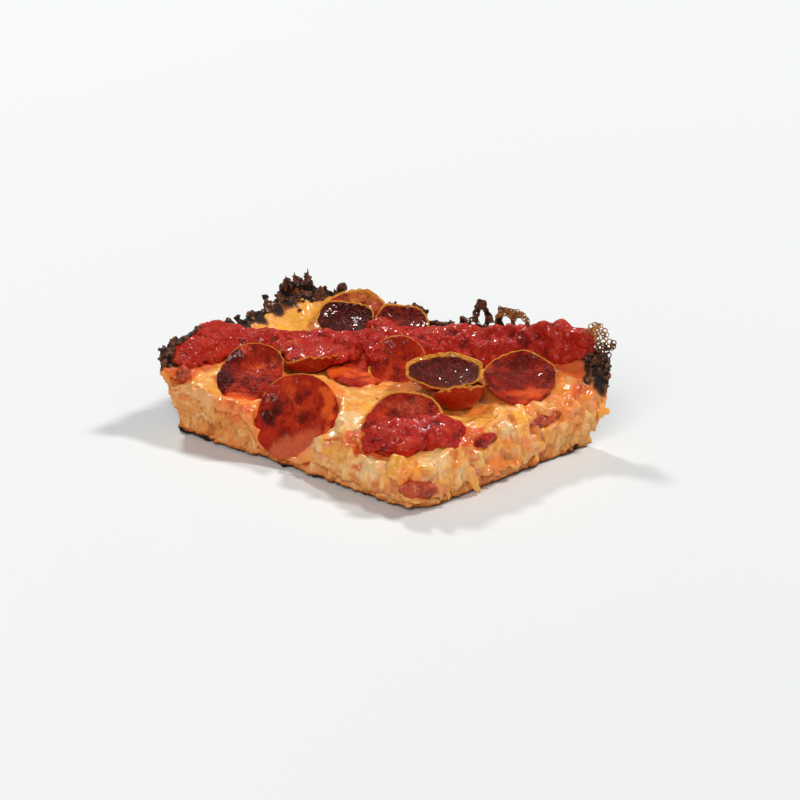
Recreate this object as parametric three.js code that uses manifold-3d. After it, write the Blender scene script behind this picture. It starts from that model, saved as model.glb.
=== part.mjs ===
// Corner slice of a thick pan pizza with pepperoni: bread, cheese baked up the two pan sides, cupped
// pepperoni and a stripe of tomato sauce. Millimetres, +Z up. The slice rests on Z = 0. +X runs along the
// long pan side from the pan's corner, +Y from the long cut side towards that pan side. The pan's corner
// is at -X +Y, and the two cut sides face -Y and +X.
import * as THREE from "three";
import { mergeVertices } from "three/addons/utils/BufferGeometryUtils.js";
import Module from "manifold-3d";

const wasm = await Module();
wasm.setup();

// ---- driving dimensions ----
const gap = 0.3; // clearance between touching pieces
const restHeight = 19.2; // cheese surface in the open middle
const rimRise = 7; // how far the cheese climbs at the pan sides
const rimReach = 14; // how far in from the pan side the climb starts
const cornerRise = 4.4; // the pan's corner baked up higher still
const heelRise = 5; // extra height of the rim towards the right cut
const heelReach = 21; // how far in that end's climb starts
const panFlare = 6.8; // the pan's sides lean out by this much up to the rim
const panCorner = 17; // radius of the pan's corner
const cutCorner = 9; // radius of the corner between the two cut sides
const wallCheese = 1.9; // cheese baked against the pan side
const hemStandOff = 1.7; // cheese hangs this far proud of a cut side

// The slice's four sides at the base, as offsets from the origin. The cuts aren't quite square to the pan.
const side = { left: -51.2, right: 53.6, front: -41.4, back: 34.6 };
const skew = { left: -2.4, right: 8.8, front: -4.4, back: -0.6 };
const frontBow = 1.6; // the front cut bows: most of its skew comes towards the right
const heelBulge = 2.8; // the right cut bulges where it meets the pan side
const leanOut = 1.6; // the left end of the front cut leans out by this much at the top

// ---- small maths ----
const lerp = THREE.MathUtils.lerp;
const clamp = THREE.MathUtils.clamp;
const radians = THREE.MathUtils.degToRad;

// Eases from 0 to 1 while value goes from start to end, which may run either way.
function smooth(value, start, end) {
  const share = clamp((value - start) / (end - start), 0, 1);
  return share * share * (3 - 2 * share);
}

// Smooth lumps between -1 and 1 over a plane, with a given lump size.
function lumps(a, b, size, phase = 0) {
  const p = a / size;
  const q = b / size;
  return (
    0.42 * Math.sin(2.1 * p + 1.3 * Math.sin(1.7 * q + phase) + phase) +
    0.34 * Math.sin(2.9 * q + 1.1 * Math.sin(2.3 * p - phase) + 2 * phase) +
    0.24 * Math.sin(4.7 * p + 3.9 * q + 3 * phase)
  );
}

// Seeded random numbers from 0 to 1.
function dice(seed) {
  let state = seed;
  return () => {
    state = (state + 0x6d2b79f5) | 0;
    let t = Math.imul(state ^ (state >>> 15), 1 | state);
    t = (t + Math.imul(t ^ (t >>> 7), 61 | t)) ^ t;
    return ((t ^ (t >>> 14)) >>> 0) / 4294967296;
  };
}

// ---- solids ----
function solidOf(geometry) {
  const bare = geometry.clone();
  for (const name of Object.keys(bare.attributes)) {
    if (name !== "position") bare.deleteAttribute(name);
  }
  const merged = mergeVertices(bare, 1e-4);
  return new wasm.Manifold(
    new wasm.Mesh({
      numProp: 3,
      vertProperties: new Float32Array(merged.attributes.position.array),
      triVerts: new Uint32Array(merged.index.array),
    }),
  );
}

function geometryOf(solid) {
  const mesh = solid.getMesh();
  const geometry = new THREE.BufferGeometry();
  geometry.setAttribute("position", new THREE.BufferAttribute(mesh.vertProperties, 3));
  geometry.setIndex(new THREE.BufferAttribute(mesh.triVerts, 1));
  return geometry;
}

const joined = (solid, others) => others.reduce((sum, other) => sum.add(other), solid);
const cutBy = (solid, others) => others.reduce((rest, other) => rest.subtract(other), solid);

// The biggest body of a solid: a boolean cut can leave loose scraps behind.
function mainBody(solid) {
  return solid.decompose().reduce((big, body) => (body.volume() > big.volume() ? body : big));
}

function movePoints(geometry, move) {
  const position = geometry.attributes.position;
  const point = new THREE.Vector3();
  for (let i = 0; i < position.count; i++) {
    move(point.fromBufferAttribute(position, i));
    position.setXYZ(i, point.x, point.y, point.z);
  }
  return geometry;
}

// Moves every face of a closed mesh out by a distance. Each point goes where the faces round it would meet
// once they have moved, which is the least-squares answer to n . shift = distance over their normals n.
function swell(geometry, distance) {
  const bare = geometry.clone();
  bare.deleteAttribute("normal");
  bare.deleteAttribute("uv");
  const merged = mergeVertices(bare, 1e-4);
  const { position } = merged.attributes;
  const index = merged.index.array;
  const point = (i) => new THREE.Vector3().fromBufferAttribute(position, i);
  const normals = Array.from({ length: position.count }, () => []);
  for (let i = 0; i < index.length; i += 3) {
    const corners = [index[i], index[i + 1], index[i + 2]];
    const normal = new THREE.Triangle(...corners.map(point)).getNormal(new THREE.Vector3());
    corners.forEach((corner) => normals[corner].push(normal));
  }
  normals.forEach((around, i) => {
    const sum = new THREE.Vector3();
    const spread = new THREE.Matrix3().set(0.05, 0, 0, 0, 0.05, 0, 0, 0, 0.05);
    for (const n of around) {
      const product = [n.x * n.x, n.x * n.y, n.x * n.z, n.y * n.y, n.y * n.z, n.z * n.z];
      const [xx, xy, xz, yy, yz, zz] = product;
      [xx, xy, xz, xy, yy, yz, xz, yz, zz].forEach((value, k) => (spread.elements[k] += value));
      sum.add(n);
    }
    const shift = sum.multiplyScalar(distance).applyMatrix3(spread.invert());
    const moved = point(i).add(shift);
    position.setXYZ(i, moved.x, moved.y, moved.z);
  });
  return merged;
}

// ---- the slice's outline ----
// across runs 0 to 1 from the left pan side to the right cut, and along runs 0 to 1 from the front cut to
// the back pan side.
const edge = {
  left: (along) => side.left + skew.left * along,
  right: (along) => side.right + skew.right * along,
  front: (across) => side.front + skew.front * across ** frontBow,
  back: (across) => side.back + skew.back * across,
};
const acrossAt = (x) => clamp((x - side.left) / (side.right - side.left), 0, 1);
const alongAt = (y) => clamp((y - side.front) / (side.back - side.front), 0, 1);

// height is the share of the rim's height, which sets how far the pan has flared.
function outlinePoint(across, along, height, grow) {
  const flare = panFlare * (0.3 * height + 0.7 * height ** 2.4);
  const heel = heelBulge * smooth(along, 0.7, 1) * smooth(height, 0, 0.45);
  const lean = leanOut * height * smooth(across, 0.3, 0);
  const left = edge.left(along) - flare - grow.pan;
  const right = edge.right(along) + heel + grow.cut;
  const front = edge.front(across) - grow.cut - lean;
  const back = edge.back(across) + flare + grow.pan;
  const x = lerp(left, right, across);
  const y = lerp(front, back, along);
  const rounded = roundCorner(x, y, left, back, panCorner + 4 * height, -1, 1);
  return roundCorner(rounded.x, rounded.y, right, front, cutCorner, 1, -1);
}

// Turns a square corner into a round one: square rings around the corner's centre become circles.
function roundCorner(x, y, cornerX, cornerY, radius, signX, signY) {
  const centreX = cornerX - signX * radius;
  const centreY = cornerY - signY * radius;
  const dx = signX * (x - centreX);
  const dy = signY * (y - centreY);
  if (dx <= 0 || dy <= 0) return { x, y };
  const shrink = Math.max(dx, dy) / Math.hypot(dx, dy);
  return { x: centreX + signX * dx * shrink, y: centreY + signY * dy * shrink };
}

// Distances in from each side of the slice at rim height.
function edgeDistances(x, y) {
  const across = acrossAt(x);
  const along = alongAt(y);
  const fromLeft = x - edge.left(along) + panFlare;
  const fromBack = edge.back(across) + panFlare - y;
  const fromFront = y - edge.front(across);
  const fromRight = edge.right(along) - x;
  const cornerLeft = Math.max(0, panCorner - fromLeft);
  const cornerBack = Math.max(0, panCorner - fromBack);
  const inCorner = cornerLeft > 0 && cornerBack > 0;
  const fromPan = inCorner
    ? panCorner - Math.hypot(cornerLeft, cornerBack)
    : Math.min(fromLeft, fromBack);
  return { fromPan: Math.max(0, fromPan), fromFront, fromRight, across };
}

// ---- heights ----
// The cheese's top surface: level in the middle, climbing at the pan sides, sagging over the cut sides.
function openCheese(x, y, levelEdge = 0) {
  const { fromPan: reach, fromFront, fromRight, across } = edgeDistances(x, y);
  const fromPan = Math.max(levelEdge, reach);
  const toCorner = Math.hypot(x - side.left, y - side.back);
  const heel = smooth(across, 0.72, 0.92);
  const rise = rimRise + heelRise * heel + cornerRise * smooth(toCorner, 42, 6);
  const climb = rise * (1 - clamp(fromPan / lerp(rimReach, heelReach, heel), 0, 1)) ** lerp(2, 1.4, heel);
  const frontSag = lerp(0.8, 6.8, smooth(across, 0.1, 0.85));
  const sag =
    frontSag * (1 - clamp(fromFront / 17, 0, 1)) ** 2 +
    2.4 * (1 - clamp(fromRight / 7, 0, 1)) ** 2;
  const cragged = 0.9 * smooth(fromPan, 7, 0) * lumps(x, y, 3.4, 2.2);
  return restHeight + climb - sag + 0.75 * lumps(x, y, 9, 0.4) + cragged;
}

// Each slice of pepperoni on the cheese lies in a bed that follows its underside. levelEdge is how far in
// from the pan side the surface runs level.
function cheeseTop(x, y, levelEdge = 0) {
  let top = openCheese(x, y, levelEdge);
  for (const slice of pepperoni) {
    const [atX, atY, atZ] = slice.at;
    const away = Math.hypot(x - atX, y - atY) / slice.radius;
    const share = smooth(away, 1.3, 0.55) * (slice.bed ?? 1);
    if (share <= 0) continue;
    const lean = radians(slice.facing);
    const downhill = (x - atX) * Math.sin(lean) - (y - atY) * Math.cos(lean);
    const bed = atZ - 0.4 - downhill * Math.tan(radians(slice.tilt));
    top = lerp(top, bed, share);
  }
  return top;
}

function cheeseDepth(x, y) {
  const { fromPan, fromFront } = edgeDistances(x, y);
  const middle = lerp(3.4, 6.2, smooth(fromFront, 0, 12));
  return lerp(2.4, middle, smooth(fromPan, 0, 11));
}

const breadTop = (x, y) => Math.max(4.5, cheeseTop(x, y, 5) - cheeseDepth(x, y));

// ---- bread ----
// Torn crumb shows on the two cut sides.
function breadGeometry() {
  const box = new THREE.BoxGeometry(1, 1, 1, 19, 14, 4);
  return movePoints(box, (p) => {
    const across = p.x + 0.5;
    const along = p.y + 0.5;
    const up = p.z + 0.5;
    const tuck = up < 0.01 ? -0.5 : 0;
    const at = outlinePoint(across, along, 0.86 * up, {
      pan: tuck - wallCheese * smooth(up, 0, 0.25),
      cut: tuck,
    });
    const onFront = along < 0.001;
    const onRight = across > 0.999;
    if ((onFront || onRight) && up > 0.01 && up < 0.99) {
      const crumb = 0.4 * lumps(at.x + at.y, 26 * up, 2.4, 1.1) - 0.2;
      at.y -= onFront ? crumb : 0;
      at.x += onRight ? crumb : 0;
    }
    const top = breadTop(at.x, at.y);
    const inward = 50 * Math.min(across, along, 1 - across, 1 - along);
    const foot = 0.7 * smooth(inward, 7, 0) * (0.5 + 0.5 * lumps(at.x, at.y, 5, 3.3));
    p.set(at.x, at.y, lerp(foot, top, up));
  });
}

// ---- cheese ----
// One blanket over the bread that runs down the pan sides as a baked wall, with a ragged lip, crags and
// lace along the rim, and a hem with drips over the cut sides.
function cheeseBlanket() {
  const box = new THREE.BoxGeometry(1, 1, 1, 26, 18, 3);
  return movePoints(box, (p) => {
    const across = p.x + 0.5;
    const along = p.y + 0.5;
    const up = p.z + 0.5;
    const onPan = Math.max(smooth(across, 0.06, 0.01), smooth(along, 0.93, 0.985));
    const rough = lumps(p.x * 130, p.y * 95 + 30 * up, 3.1, 0.9);
    const at = outlinePoint(across, along, lerp(lerp(0.75, 0.12, onPan), 1, up), {
      pan: onPan * (0.55 * rough - 0.4 * smooth(up, 0.8, 1)),
      cut: hemStandOff * (1 + 0.35 * rough) * smooth(up, 1.2, 0.5) * (1 - 0.8 * onPan * (1 - up)),
    });
    const top = cheeseTop(at.x, at.y);
    const ragged = 1.4 * (0.5 + 0.5 * lumps(at.x, at.y, 4.2, 1.9));
    const overhang = 0.6 + 4.4 * smooth(across, 0.3, 0.75) * smooth(along, 1, 0.5);
    const hem = Math.max(3, breadTop(at.x, at.y) - overhang - ragged);
    const bareEnd = 6 * smooth(along, 0.16, 0) * smooth(across, 0.3, 0);
    const wallFoot = 2.4 + bareEnd + 1.1 * lumps(at.x + at.y, 0, 4, 0.7);
    p.set(at.x, at.y, lerp(lerp(hem, wallFoot, onPan), top, up));
  });
}

// A blob stretched along its own axis, used for drips, crags and pulp.
function blob(x, y, z, radiusX, radiusY, radiusZ, detail = 6) {
  const ball = new THREE.SphereGeometry(1, detail, Math.max(3, Math.round(detail * 0.7)));
  ball.scale(radiusX, radiusY, radiusZ);
  ball.translate(x, y, z);
  return solidOf(ball);
}

// Melted cheese that ran over the cut sides: place along the side, length, width, how low it hangs and,
// for the torn tuft at the end, how far it stands out.
const frontDrips = [
  { x: -36, width: 5, length: 5, low: 9 },
  { x: 13, width: 4.2, length: 6, low: 6 },
  { x: 22, width: 3.4, length: 6, low: 3.6 },
  { x: 46, width: 11, length: 6, low: 10.5 },
];
const rightDrips = [
  { y: -31, width: 4, length: 7, low: 2 },
  { y: -22, width: 3, length: 12, low: 0.6 },
  { y: -11, width: 4.6, length: 7, low: 3.4 },
  { y: -2, width: 3, length: 11, low: 2.4 },
  { y: 9, width: 4.4, length: 8, low: 5 },
  { y: 22, width: 4, length: 7, low: 8 },
  { y: 34.2, width: 4.6, length: 3.4, low: 10.4, depth: 7 },
];

const dripDepth = 2.2;

function drips() {
  const front = frontDrips.map(({ x, width, length, low, depth = dripDepth }) => {
    const tall = length / 2 + 1;
    return blob(x, edge.front(acrossAt(x)), low + tall, width / 2, depth, tall);
  });
  const right = rightDrips.map(({ y, width, length, low, depth = dripDepth }) => {
    const tall = length / 2 + 1;
    return blob(edge.right(alongAt(y)), y, low + tall, depth, width / 2, tall);
  });
  return [...front, ...right];
}

// Burnt crags along the rim: rough clumps, tallest where the cheese baked hardest.
const cragRuns = [
  { from: [-55.5, -42], to: [-58.2, -33], count: 4, tall: 2.4 },
  { from: [-58.6, -18], to: [-60.2, 16], count: 7, tall: 1.9 },
  { from: [-60, 19], to: [-56, 34], count: 5, tall: 3 },
  { from: [-50, 39], to: [-24, 41], count: 5, tall: 1.6 },
  { from: [-20, 41], to: [8, 41], count: 5, tall: 1.7 },
  { from: [53, 41], to: [62, 38.6], count: 4, tall: 3.2 },
  { from: [63, 36.6], to: [62.4, 28], count: 3, tall: 2 },
];
const spikes = [
  { x: -59.2, y: 27, tall: 4.6 },
  { x: -57.6, y: 32, tall: 5.4 },
];

function crags() {
  const random = dice(41);
  const clumps = cragRuns.flatMap((run) =>
    Array.from({ length: run.count }, (_, i) => {
      const share = (i + 0.2 + 0.6 * random()) / run.count;
      const x = lerp(run.from[0], run.to[0], share) + 1.4 * (random() - 0.5);
      const y = lerp(run.from[1], run.to[1], share) + 1.4 * (random() - 0.5);
      const tall = run.tall * (0.6 + 0.7 * random());
      const wide = 1.2 + 1.1 * random();
      return blob(x, y, openCheese(x, y) + 0.3 * tall, wide, wide * 0.8, tall, 5);
    }),
  );
  const points = spikes.map(({ x, y, tall }) => {
    const cone = new THREE.ConeGeometry(1.5, tall + 2, 5, 1);
    cone.rotateX(Math.PI / 2);
    cone.translate(x, y, openCheese(x, y) + tall / 2 - 1);
    return solidOf(cone);
  });
  return [...clumps, ...points];
}

// Lace: thin burnt webs of cheese with holes through them, standing on the rim.
// Each is an outline and its holes in its own plane, then turned and stood on the rim.
const laces = [
  {
    at: [11.5, 41.4, 24.6],
    turn: 8,
    outline: [[-5, 0], [-5.4, 4], [-3.2, 4.4], [-2.4, 8.2], [-1.3, 11.4], [1, 11.4], [1.9, 7.6], [3.2, 7],
      [4.6, 3], [5, 0]],
    holes: [{ x: -0.2, y: 5.4, width: 1.7, height: 4.2 }],
  },
  {
    at: [24.6, 41.5, 26],
    turn: 6,
    outline: [[-6, 0], [-6.6, 4.6], [-5.6, 9.6], [-2, 9], [1.6, 9.7], [5, 8.2], [6.6, 3.2], [6, 0]],
    holes: [
      { x: -2.8, y: 4.6, width: 3, height: 4 },
      { x: 2.4, y: 4.4, width: 3.6, height: 4.4 },
    ],
  },
  {
    at: [59.8, 40.6, 27.2],
    turn: 34,
    outline: [[-4.6, 0], [-5.4, 5], [-4.2, 9.8], [-2.2, 12.4], [0.6, 12], [3, 8.6], [5.4, 8], [5.6, 4.6],
      [4.4, 0]],
    holes: [
      { x: -2.6, y: 8.6, width: 1.5, height: 1.8 },
      { x: -2.4, y: 5, width: 1.8, height: 2.2 },
      { x: 0.4, y: 7.2, width: 1.6, height: 2.2 },
      { x: 0.6, y: 3.6, width: 1.4, height: 1.6 },
    ],
  },
];
const laceThick = 1.3;

function laceSolid(lace) {
  const shape = new THREE.Shape(lace.outline.map(([x, y]) => new THREE.Vector2(x, y)));
  shape.holes = lace.holes.map(({ x, y, width, height }) => {
    const hole = new THREE.Path();
    hole.absellipse(x, y, width / 2, height / 2, 0, 2 * Math.PI, false);
    return hole;
  });
  const web = new THREE.ExtrudeGeometry(shape, { depth: laceThick, bevelEnabled: false, curveSegments: 3 });
  web.translate(0, 0, -laceThick / 2);
  web.rotateX(Math.PI / 2);
  web.rotateZ(radians(lace.turn));
  web.translate(...lace.at);
  return solidOf(web);
}

// ---- pepperoni ----
// A slice of pepperoni that cupped in the oven. `at` is the middle of its base, `facing` and `tilt` turn
// it: tilt 0 lies level, and facing is the way it leans down, 0 to -Y and 90 to +X. back and front are how
// far the rim curls up on the high and on the low side, and less than 0 drapes over an edge. bed is how
// much the cheese below follows the slice.
const pepperoniThick = 1.4;
const pepperoni = [
  { name: "pepperoni_left", at: [-28.7, -28.7, 21], radius: 11.8,
    back: 4.4, front: -1, tilt: 24, facing: 12, ruffle: 0.4 },
  { name: "pepperoni_front_left", at: [-4.7, -33.8, 14], radius: 14.9,
    back: 3.4, front: 0, tilt: 48, facing: 14, ruffle: 0.3 },
  { name: "pepperoni_front", at: [35.1, -28.9, 19.2], radius: 13.7,
    back: 4, front: -0.6, tilt: 20, facing: 28, ruffle: 0.4 },
  { name: "pepperoni_cup_under", at: [34.8, -1.6, 17.8], radius: 10.8,
    back: 8, front: 10, tilt: 3, facing: 30, ruffle: 0.6 },
  { name: "pepperoni_cup", at: [25.7, 2.4, 22.2], radius: 14.4,
    back: 5, front: 4.4, tilt: 2, facing: 36, ruffle: 0.9, bed: 0 },
  { name: "pepperoni_right", at: [44.2, 18.8, 22], radius: 12.5,
    back: 4.4, front: 0.4, tilt: 13, facing: 40, ruffle: 0.5 },
  { name: "pepperoni_centre", at: [1.2, 9.8, 20.8], radius: 9.6,
    back: 2.4, front: 0, tilt: 42, facing: 24, ruffle: 0.4, bed: 0.6 },
  { name: "pepperoni_flat", at: [-5.8, -1.4, 19.6], radius: 11.4,
    back: 0.6, front: 0, tilt: 4, facing: 40, ruffle: 0.4 },
  { name: "pepperoni_middle", at: [-22, -8.6, 18.8], radius: 11.4,
    back: 5, front: 7.2, tilt: 0, facing: 40, ruffle: 0.8 },
  { name: "pepperoni_back", at: [-35, 25.8, 20.6], radius: 10.7,
    back: 5, front: 4, tilt: 2, facing: 34, ruffle: 0.8 },
  { name: "pepperoni_rim", at: [-37, 32.6, 22.6], radius: 11.4,
    back: 4, front: 2, tilt: 6, facing: 20, ruffle: 0.7 },
  { name: "pepperoni_back_right", at: [-15.4, 31.4, 22.4], radius: 10.4,
    back: 4.2, front: 2, tilt: 8, facing: 36, ruffle: 0.7 },
];
const pepperoniRings = [0.5, 0.8, 1];

// grow makes room round the slice, and clear carries that room up and away over it.
function pepperoniGeometry(slice, grow = 0, clear = 0) {
  const half = pepperoniThick / 2 + grow;
  const rim = slice.radius + grow;
  const bevel = 0.35 * pepperoniThick;
  const profile = [
    ...[0, ...pepperoniRings].map((share) => new THREE.Vector2(rim * share - bevel * (share === 1), -half)),
    new THREE.Vector2(rim, 0),
    ...(clear > 0 ? [new THREE.Vector2(rim, half + clear), new THREE.Vector2(0, half + clear)] : []),
    ...(clear > 0 ? [] : [1, ...pepperoniRings.slice(0, -1).reverse(), 0]).map(
      (share) => new THREE.Vector2(rim * share - bevel * (share === 1), half),
    ),
  ];
  const disc = new THREE.LatheGeometry(profile, 16);
  disc.rotateX(Math.PI / 2);
  const phase = slice.at[0];
  movePoints(disc, (p) => {
    const share = Math.hypot(p.x, p.y) / slice.radius;
    const angle = Math.atan2(p.y, p.x);
    const side = lerp(slice.front, slice.back, 0.5 + 0.5 * Math.sin(angle));
    const curl = side * Math.min(share, 1.03) ** 2.4 * (1 + 0.12 * Math.sin(2 * angle + phase));
    const wave = slice.ruffle * share ** 3 * Math.sin(4 * angle + 2 * Math.sin(angle + phase));
    const pull = 1 - 0.02 * Math.max(0, side) * share ** 4;
    p.set(p.x * pull * (1 + 0.03 * Math.sin(3 * angle + phase)), p.y * pull, p.z + curl + wave);
  });
  disc.rotateX(radians(slice.tilt));
  disc.rotateZ(radians(slice.facing));
  disc.translate(...slice.at);
  return disc;
}

// Bits that the knife cut through and left showing in the cut sides: length along the side, height, and
// how deep they sit. facing is the way the side looks, as for the pepperoni.
const scraps = [
  { name: "pepperoni_scrap_left", at: [-49.6, -42.2, 19.6],
    size: [7, 8.4, 3.4], facing: 4, finish: "pepperoni" },
  { name: "pepperoni_scrap_corner", at: [52.4, -44, 7.4],
    size: [13, 6.6, 4], facing: 42, finish: "pepperoni" },
  { name: "pepperoni_scrap_right", at: [60.4, 12.4, 15],
    size: [17, 4.4, 3.6], facing: 84, finish: "pepperoni" },
  { name: "sauce_scrap", at: [57.4, -16.9, 16.6],
    size: [11, 5, 3.6], facing: 84, finish: "sauce" },
];

function scrapGeometry(scrap, grow = 0) {
  const [length, height, depth] = scrap.size;
  const ball = new THREE.SphereGeometry(1, 8, 5);
  ball.rotateX(Math.PI / 2);
  movePoints(ball, (p) => {
    const uneven = 1 + 0.16 * lumps(3 * p.x + scrap.at[0], 3 * p.z, 1.2, scrap.at[1]);
    p.x *= (length / 2) * uneven + grow;
    p.y *= depth / 2 + grow;
    p.z *= (height / 2) * uneven + grow;
  });
  ball.rotateZ(radians(scrap.facing));
  ball.translate(...scrap.at);
  return ball;
}

// ---- sauce ----
// The long stripe crosses the slice from the left cut corner to the far rim; the dollop lies on the front
// pepperoni. Each stretch gives its middle, half width and how thick the sauce lies on what is under it.
const stripe = {
  route: [
    { x: -53, y: -38.8, half: 5.8, thick: 3.6 },
    { x: -54.6, y: -27, half: 6.6, thick: 5.4 },
    { x: -52.6, y: -15, half: 7, thick: 7 },
    { x: -43, y: -5, half: 7, thick: 7.2 },
    { x: -31, y: 3, half: 7, thick: 7 },
    { x: -19.5, y: 12, half: 6.8, thick: 7.2 },
    { x: -8, y: 23, half: 7.2, thick: 7 },
    { x: 5, y: 31, half: 7.2, thick: 7 },
    { x: 20, y: 35, half: 7, thick: 7.6 },
    { x: 35, y: 37, half: 6, thick: 8.4 },
    { x: 49, y: 38.4, half: 5, thick: 6 },
    { x: 59, y: 38.8, half: 4.2, thick: 4.4 },
  ],
  steps: 26,
};
const dollop = {
  route: [
    { x: 27.6, y: -39.6, half: 3.4, thick: 2.6 },
    { x: 32.8, y: -37.2, half: 6.2, thick: 3.8 },
    { x: 40.4, y: -32.8, half: 7.6, thick: 4.2 },
    { x: 47.6, y: -27, half: 7.6, thick: 5 },
    { x: 52, y: -20.6, half: 5, thick: 3.6 },
  ],
  steps: 12,
};

// Keeps a coordinate short of a limit: the last few millimetres before it are squeezed together.
function easeBack(value, limit, sign) {
  const room = 4;
  const over = sign * (value - limit) + room;
  return over > 0 ? limit - sign * room * (1 - Math.tanh(over / room)) : value;
}

function sauceGeometry(run, bed, grow = 0) {
  const line = new THREE.CatmullRomCurve3(run.route.map((r) => new THREE.Vector3(r.x, r.y, 0)));
  const widths = new THREE.CatmullRomCurve3(run.route.map((r) => new THREE.Vector3(r.half, r.thick, 0)));
  const box = new THREE.BoxGeometry(1, 1, 1, run.steps, 5, 1);
  return movePoints(box, (p) => {
    const share = p.x + 0.5;
    const middle = line.getPoint(share);
    const heading = line.getTangent(share);
    const size = widths.getPoint(share);
    const nearEnd = Math.min(share, 1 - share) * run.steps;
    const taper = Math.sqrt(clamp((nearEnd + 0.35) / 2.6, 0, 1));
    const bulge = 1 + 0.16 * lumps(run.steps * share * 2.6, 4 * Math.sign(p.y), 3.2, 0.6);
    const reach = (size.x * taper * bulge + grow) * 2 * p.y;
    const onward = nearEnd < 0.1 ? grow * Math.sign(p.x) : 0;
    const x = easeBack(middle.x - heading.y * reach + heading.x * onward, -58.6 - grow, -1);
    const y = easeBack(middle.y + heading.x * reach + heading.y * onward, 40.2 + grow, 1);
    const crown = Math.sqrt(1 - 0.93 * (2 * p.y) ** 2);
    const height = size.y * taper * crown * (1 + 0.14 * lumps(x, y, 3, 1.4));
    const floor = bed(x, y);
    p.set(x, y, p.z > 0 ? floor + Math.max(0.7, height) + grow : floor - 0.9 - grow);
  });
}

// ---- building ----
const slicesByName = new Map(pepperoni.map((slice) => [slice.name, slice]));
const body = (name) => solidOf(pepperoniGeometry(slicesByName.get(name)));
const room = (name) => solidOf(pepperoniGeometry(slicesByName.get(name), gap));

// Where slices overlap, the lower one is cut clear of the upper one.
const liesUnder = {
  pepperoni_left: ["pepperoni_front_left"],
  pepperoni_cup_under: ["pepperoni_cup"],
  pepperoni_right: ["pepperoni_cup", "pepperoni_cup_under"],
  pepperoni_flat: ["pepperoni_centre", "pepperoni_cup", "pepperoni_middle"],
  pepperoni_rim: ["pepperoni_back"],
  pepperoni_back_right: ["pepperoni_back"],
};

const openRoom = (name) => solidOf(pepperoniGeometry(slicesByName.get(name), gap, 14));
const rooms = pepperoni.map((slice) => room(slice.name));
const openRooms = pepperoni.map((slice) => openRoom(slice.name));
const dollopBed = (x, y) => cheeseTop(x, y) + 1.6;
const stripeBody = solidOf(sauceGeometry(stripe, cheeseTop));
const stripeRoom = solidOf(sauceGeometry(stripe, cheeseTop, gap));
const dollopBody = solidOf(sauceGeometry(dollop, dollopBed));
const dollopRoom = solidOf(sauceGeometry(dollop, dollopBed, gap));

const scrapRooms = scraps.map((scrap) => solidOf(scrapGeometry(scrap, gap)));
const breadRoom = solidOf(swell(breadGeometry(), gap));
const cheese = cutBy(joined(solidOf(cheeseBlanket()), [...drips(), ...crags(), ...laces.map(laceSolid)]), [
  breadRoom,
  ...openRooms,
  ...scrapRooms,
  stripeRoom,
  dollopRoom,
]);
const bread = cutBy(solidOf(breadGeometry()), [...openRooms, ...scrapRooms]);

const look = {
  bread: { color: 0xd9a25c, roughness: 0.9 },
  cheese: { color: 0xe6b25a, roughness: 0.45 },
  sauce: { color: 0xa3160f, roughness: 0.35 },
  pepperoni: { color: 0x8a1c10, roughness: 0.4 },
};

const slice = new THREE.Group();
function addPiece(name, solid, finish) {
  const material = new THREE.MeshStandardMaterial({ metalness: 0, ...look[finish] });
  const piece = new THREE.Mesh(geometryOf(mainBody(solid)), material);
  piece.name = name;
  slice.add(piece);
}

addPiece("bread", bread, "bread");
addPiece("cheese", cheese, "cheese");
for (const { name } of pepperoni) {
  const above = (liesUnder[name] ?? []).map(openRoom);
  addPiece(name, cutBy(body(name), above), "pepperoni");
}
for (const scrap of scraps) {
  const whole = solidOf(scrapGeometry(scrap));
  addPiece(scrap.name, cutBy(whole, [...rooms, stripeRoom, dollopRoom]), scrap.finish);
}
addPiece("sauce_stripe", cutBy(stripeBody, rooms), "sauce");
addPiece("sauce_dollop", cutBy(dollopBody, rooms), "sauce");

export default slice;
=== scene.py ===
import math
import random

import bmesh
import bpy
import numpy as np
from mathutils import Euler, Matrix, Vector
from mathutils.bvhtree import BVHTree


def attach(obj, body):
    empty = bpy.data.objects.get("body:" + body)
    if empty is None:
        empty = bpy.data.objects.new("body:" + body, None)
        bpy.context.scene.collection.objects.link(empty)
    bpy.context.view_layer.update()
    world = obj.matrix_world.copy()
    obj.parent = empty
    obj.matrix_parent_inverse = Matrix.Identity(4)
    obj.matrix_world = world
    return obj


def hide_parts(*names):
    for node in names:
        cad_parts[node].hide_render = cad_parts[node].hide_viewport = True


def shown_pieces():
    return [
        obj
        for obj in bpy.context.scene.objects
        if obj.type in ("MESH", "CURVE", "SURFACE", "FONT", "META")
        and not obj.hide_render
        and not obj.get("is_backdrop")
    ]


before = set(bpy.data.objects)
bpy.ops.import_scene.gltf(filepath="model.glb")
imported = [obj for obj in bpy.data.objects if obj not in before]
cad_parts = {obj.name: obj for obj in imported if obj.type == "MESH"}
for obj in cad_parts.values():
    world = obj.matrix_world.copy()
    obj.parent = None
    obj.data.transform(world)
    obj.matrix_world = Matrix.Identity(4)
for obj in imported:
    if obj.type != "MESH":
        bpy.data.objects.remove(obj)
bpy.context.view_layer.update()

# A corner slice of pan pizza. Places and sizes below are in millimetres unless a note says otherwise.
mm = 0.001
print("frame loaded")

# Camera and look of the picture
camera = {
    "place": (618.74, -752.05, 403.98),
    "target": (-10.5, 25.0, 0.0),
    "lens": 144,
    "sensor": 36,
    "nearest": 50,
}


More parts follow.
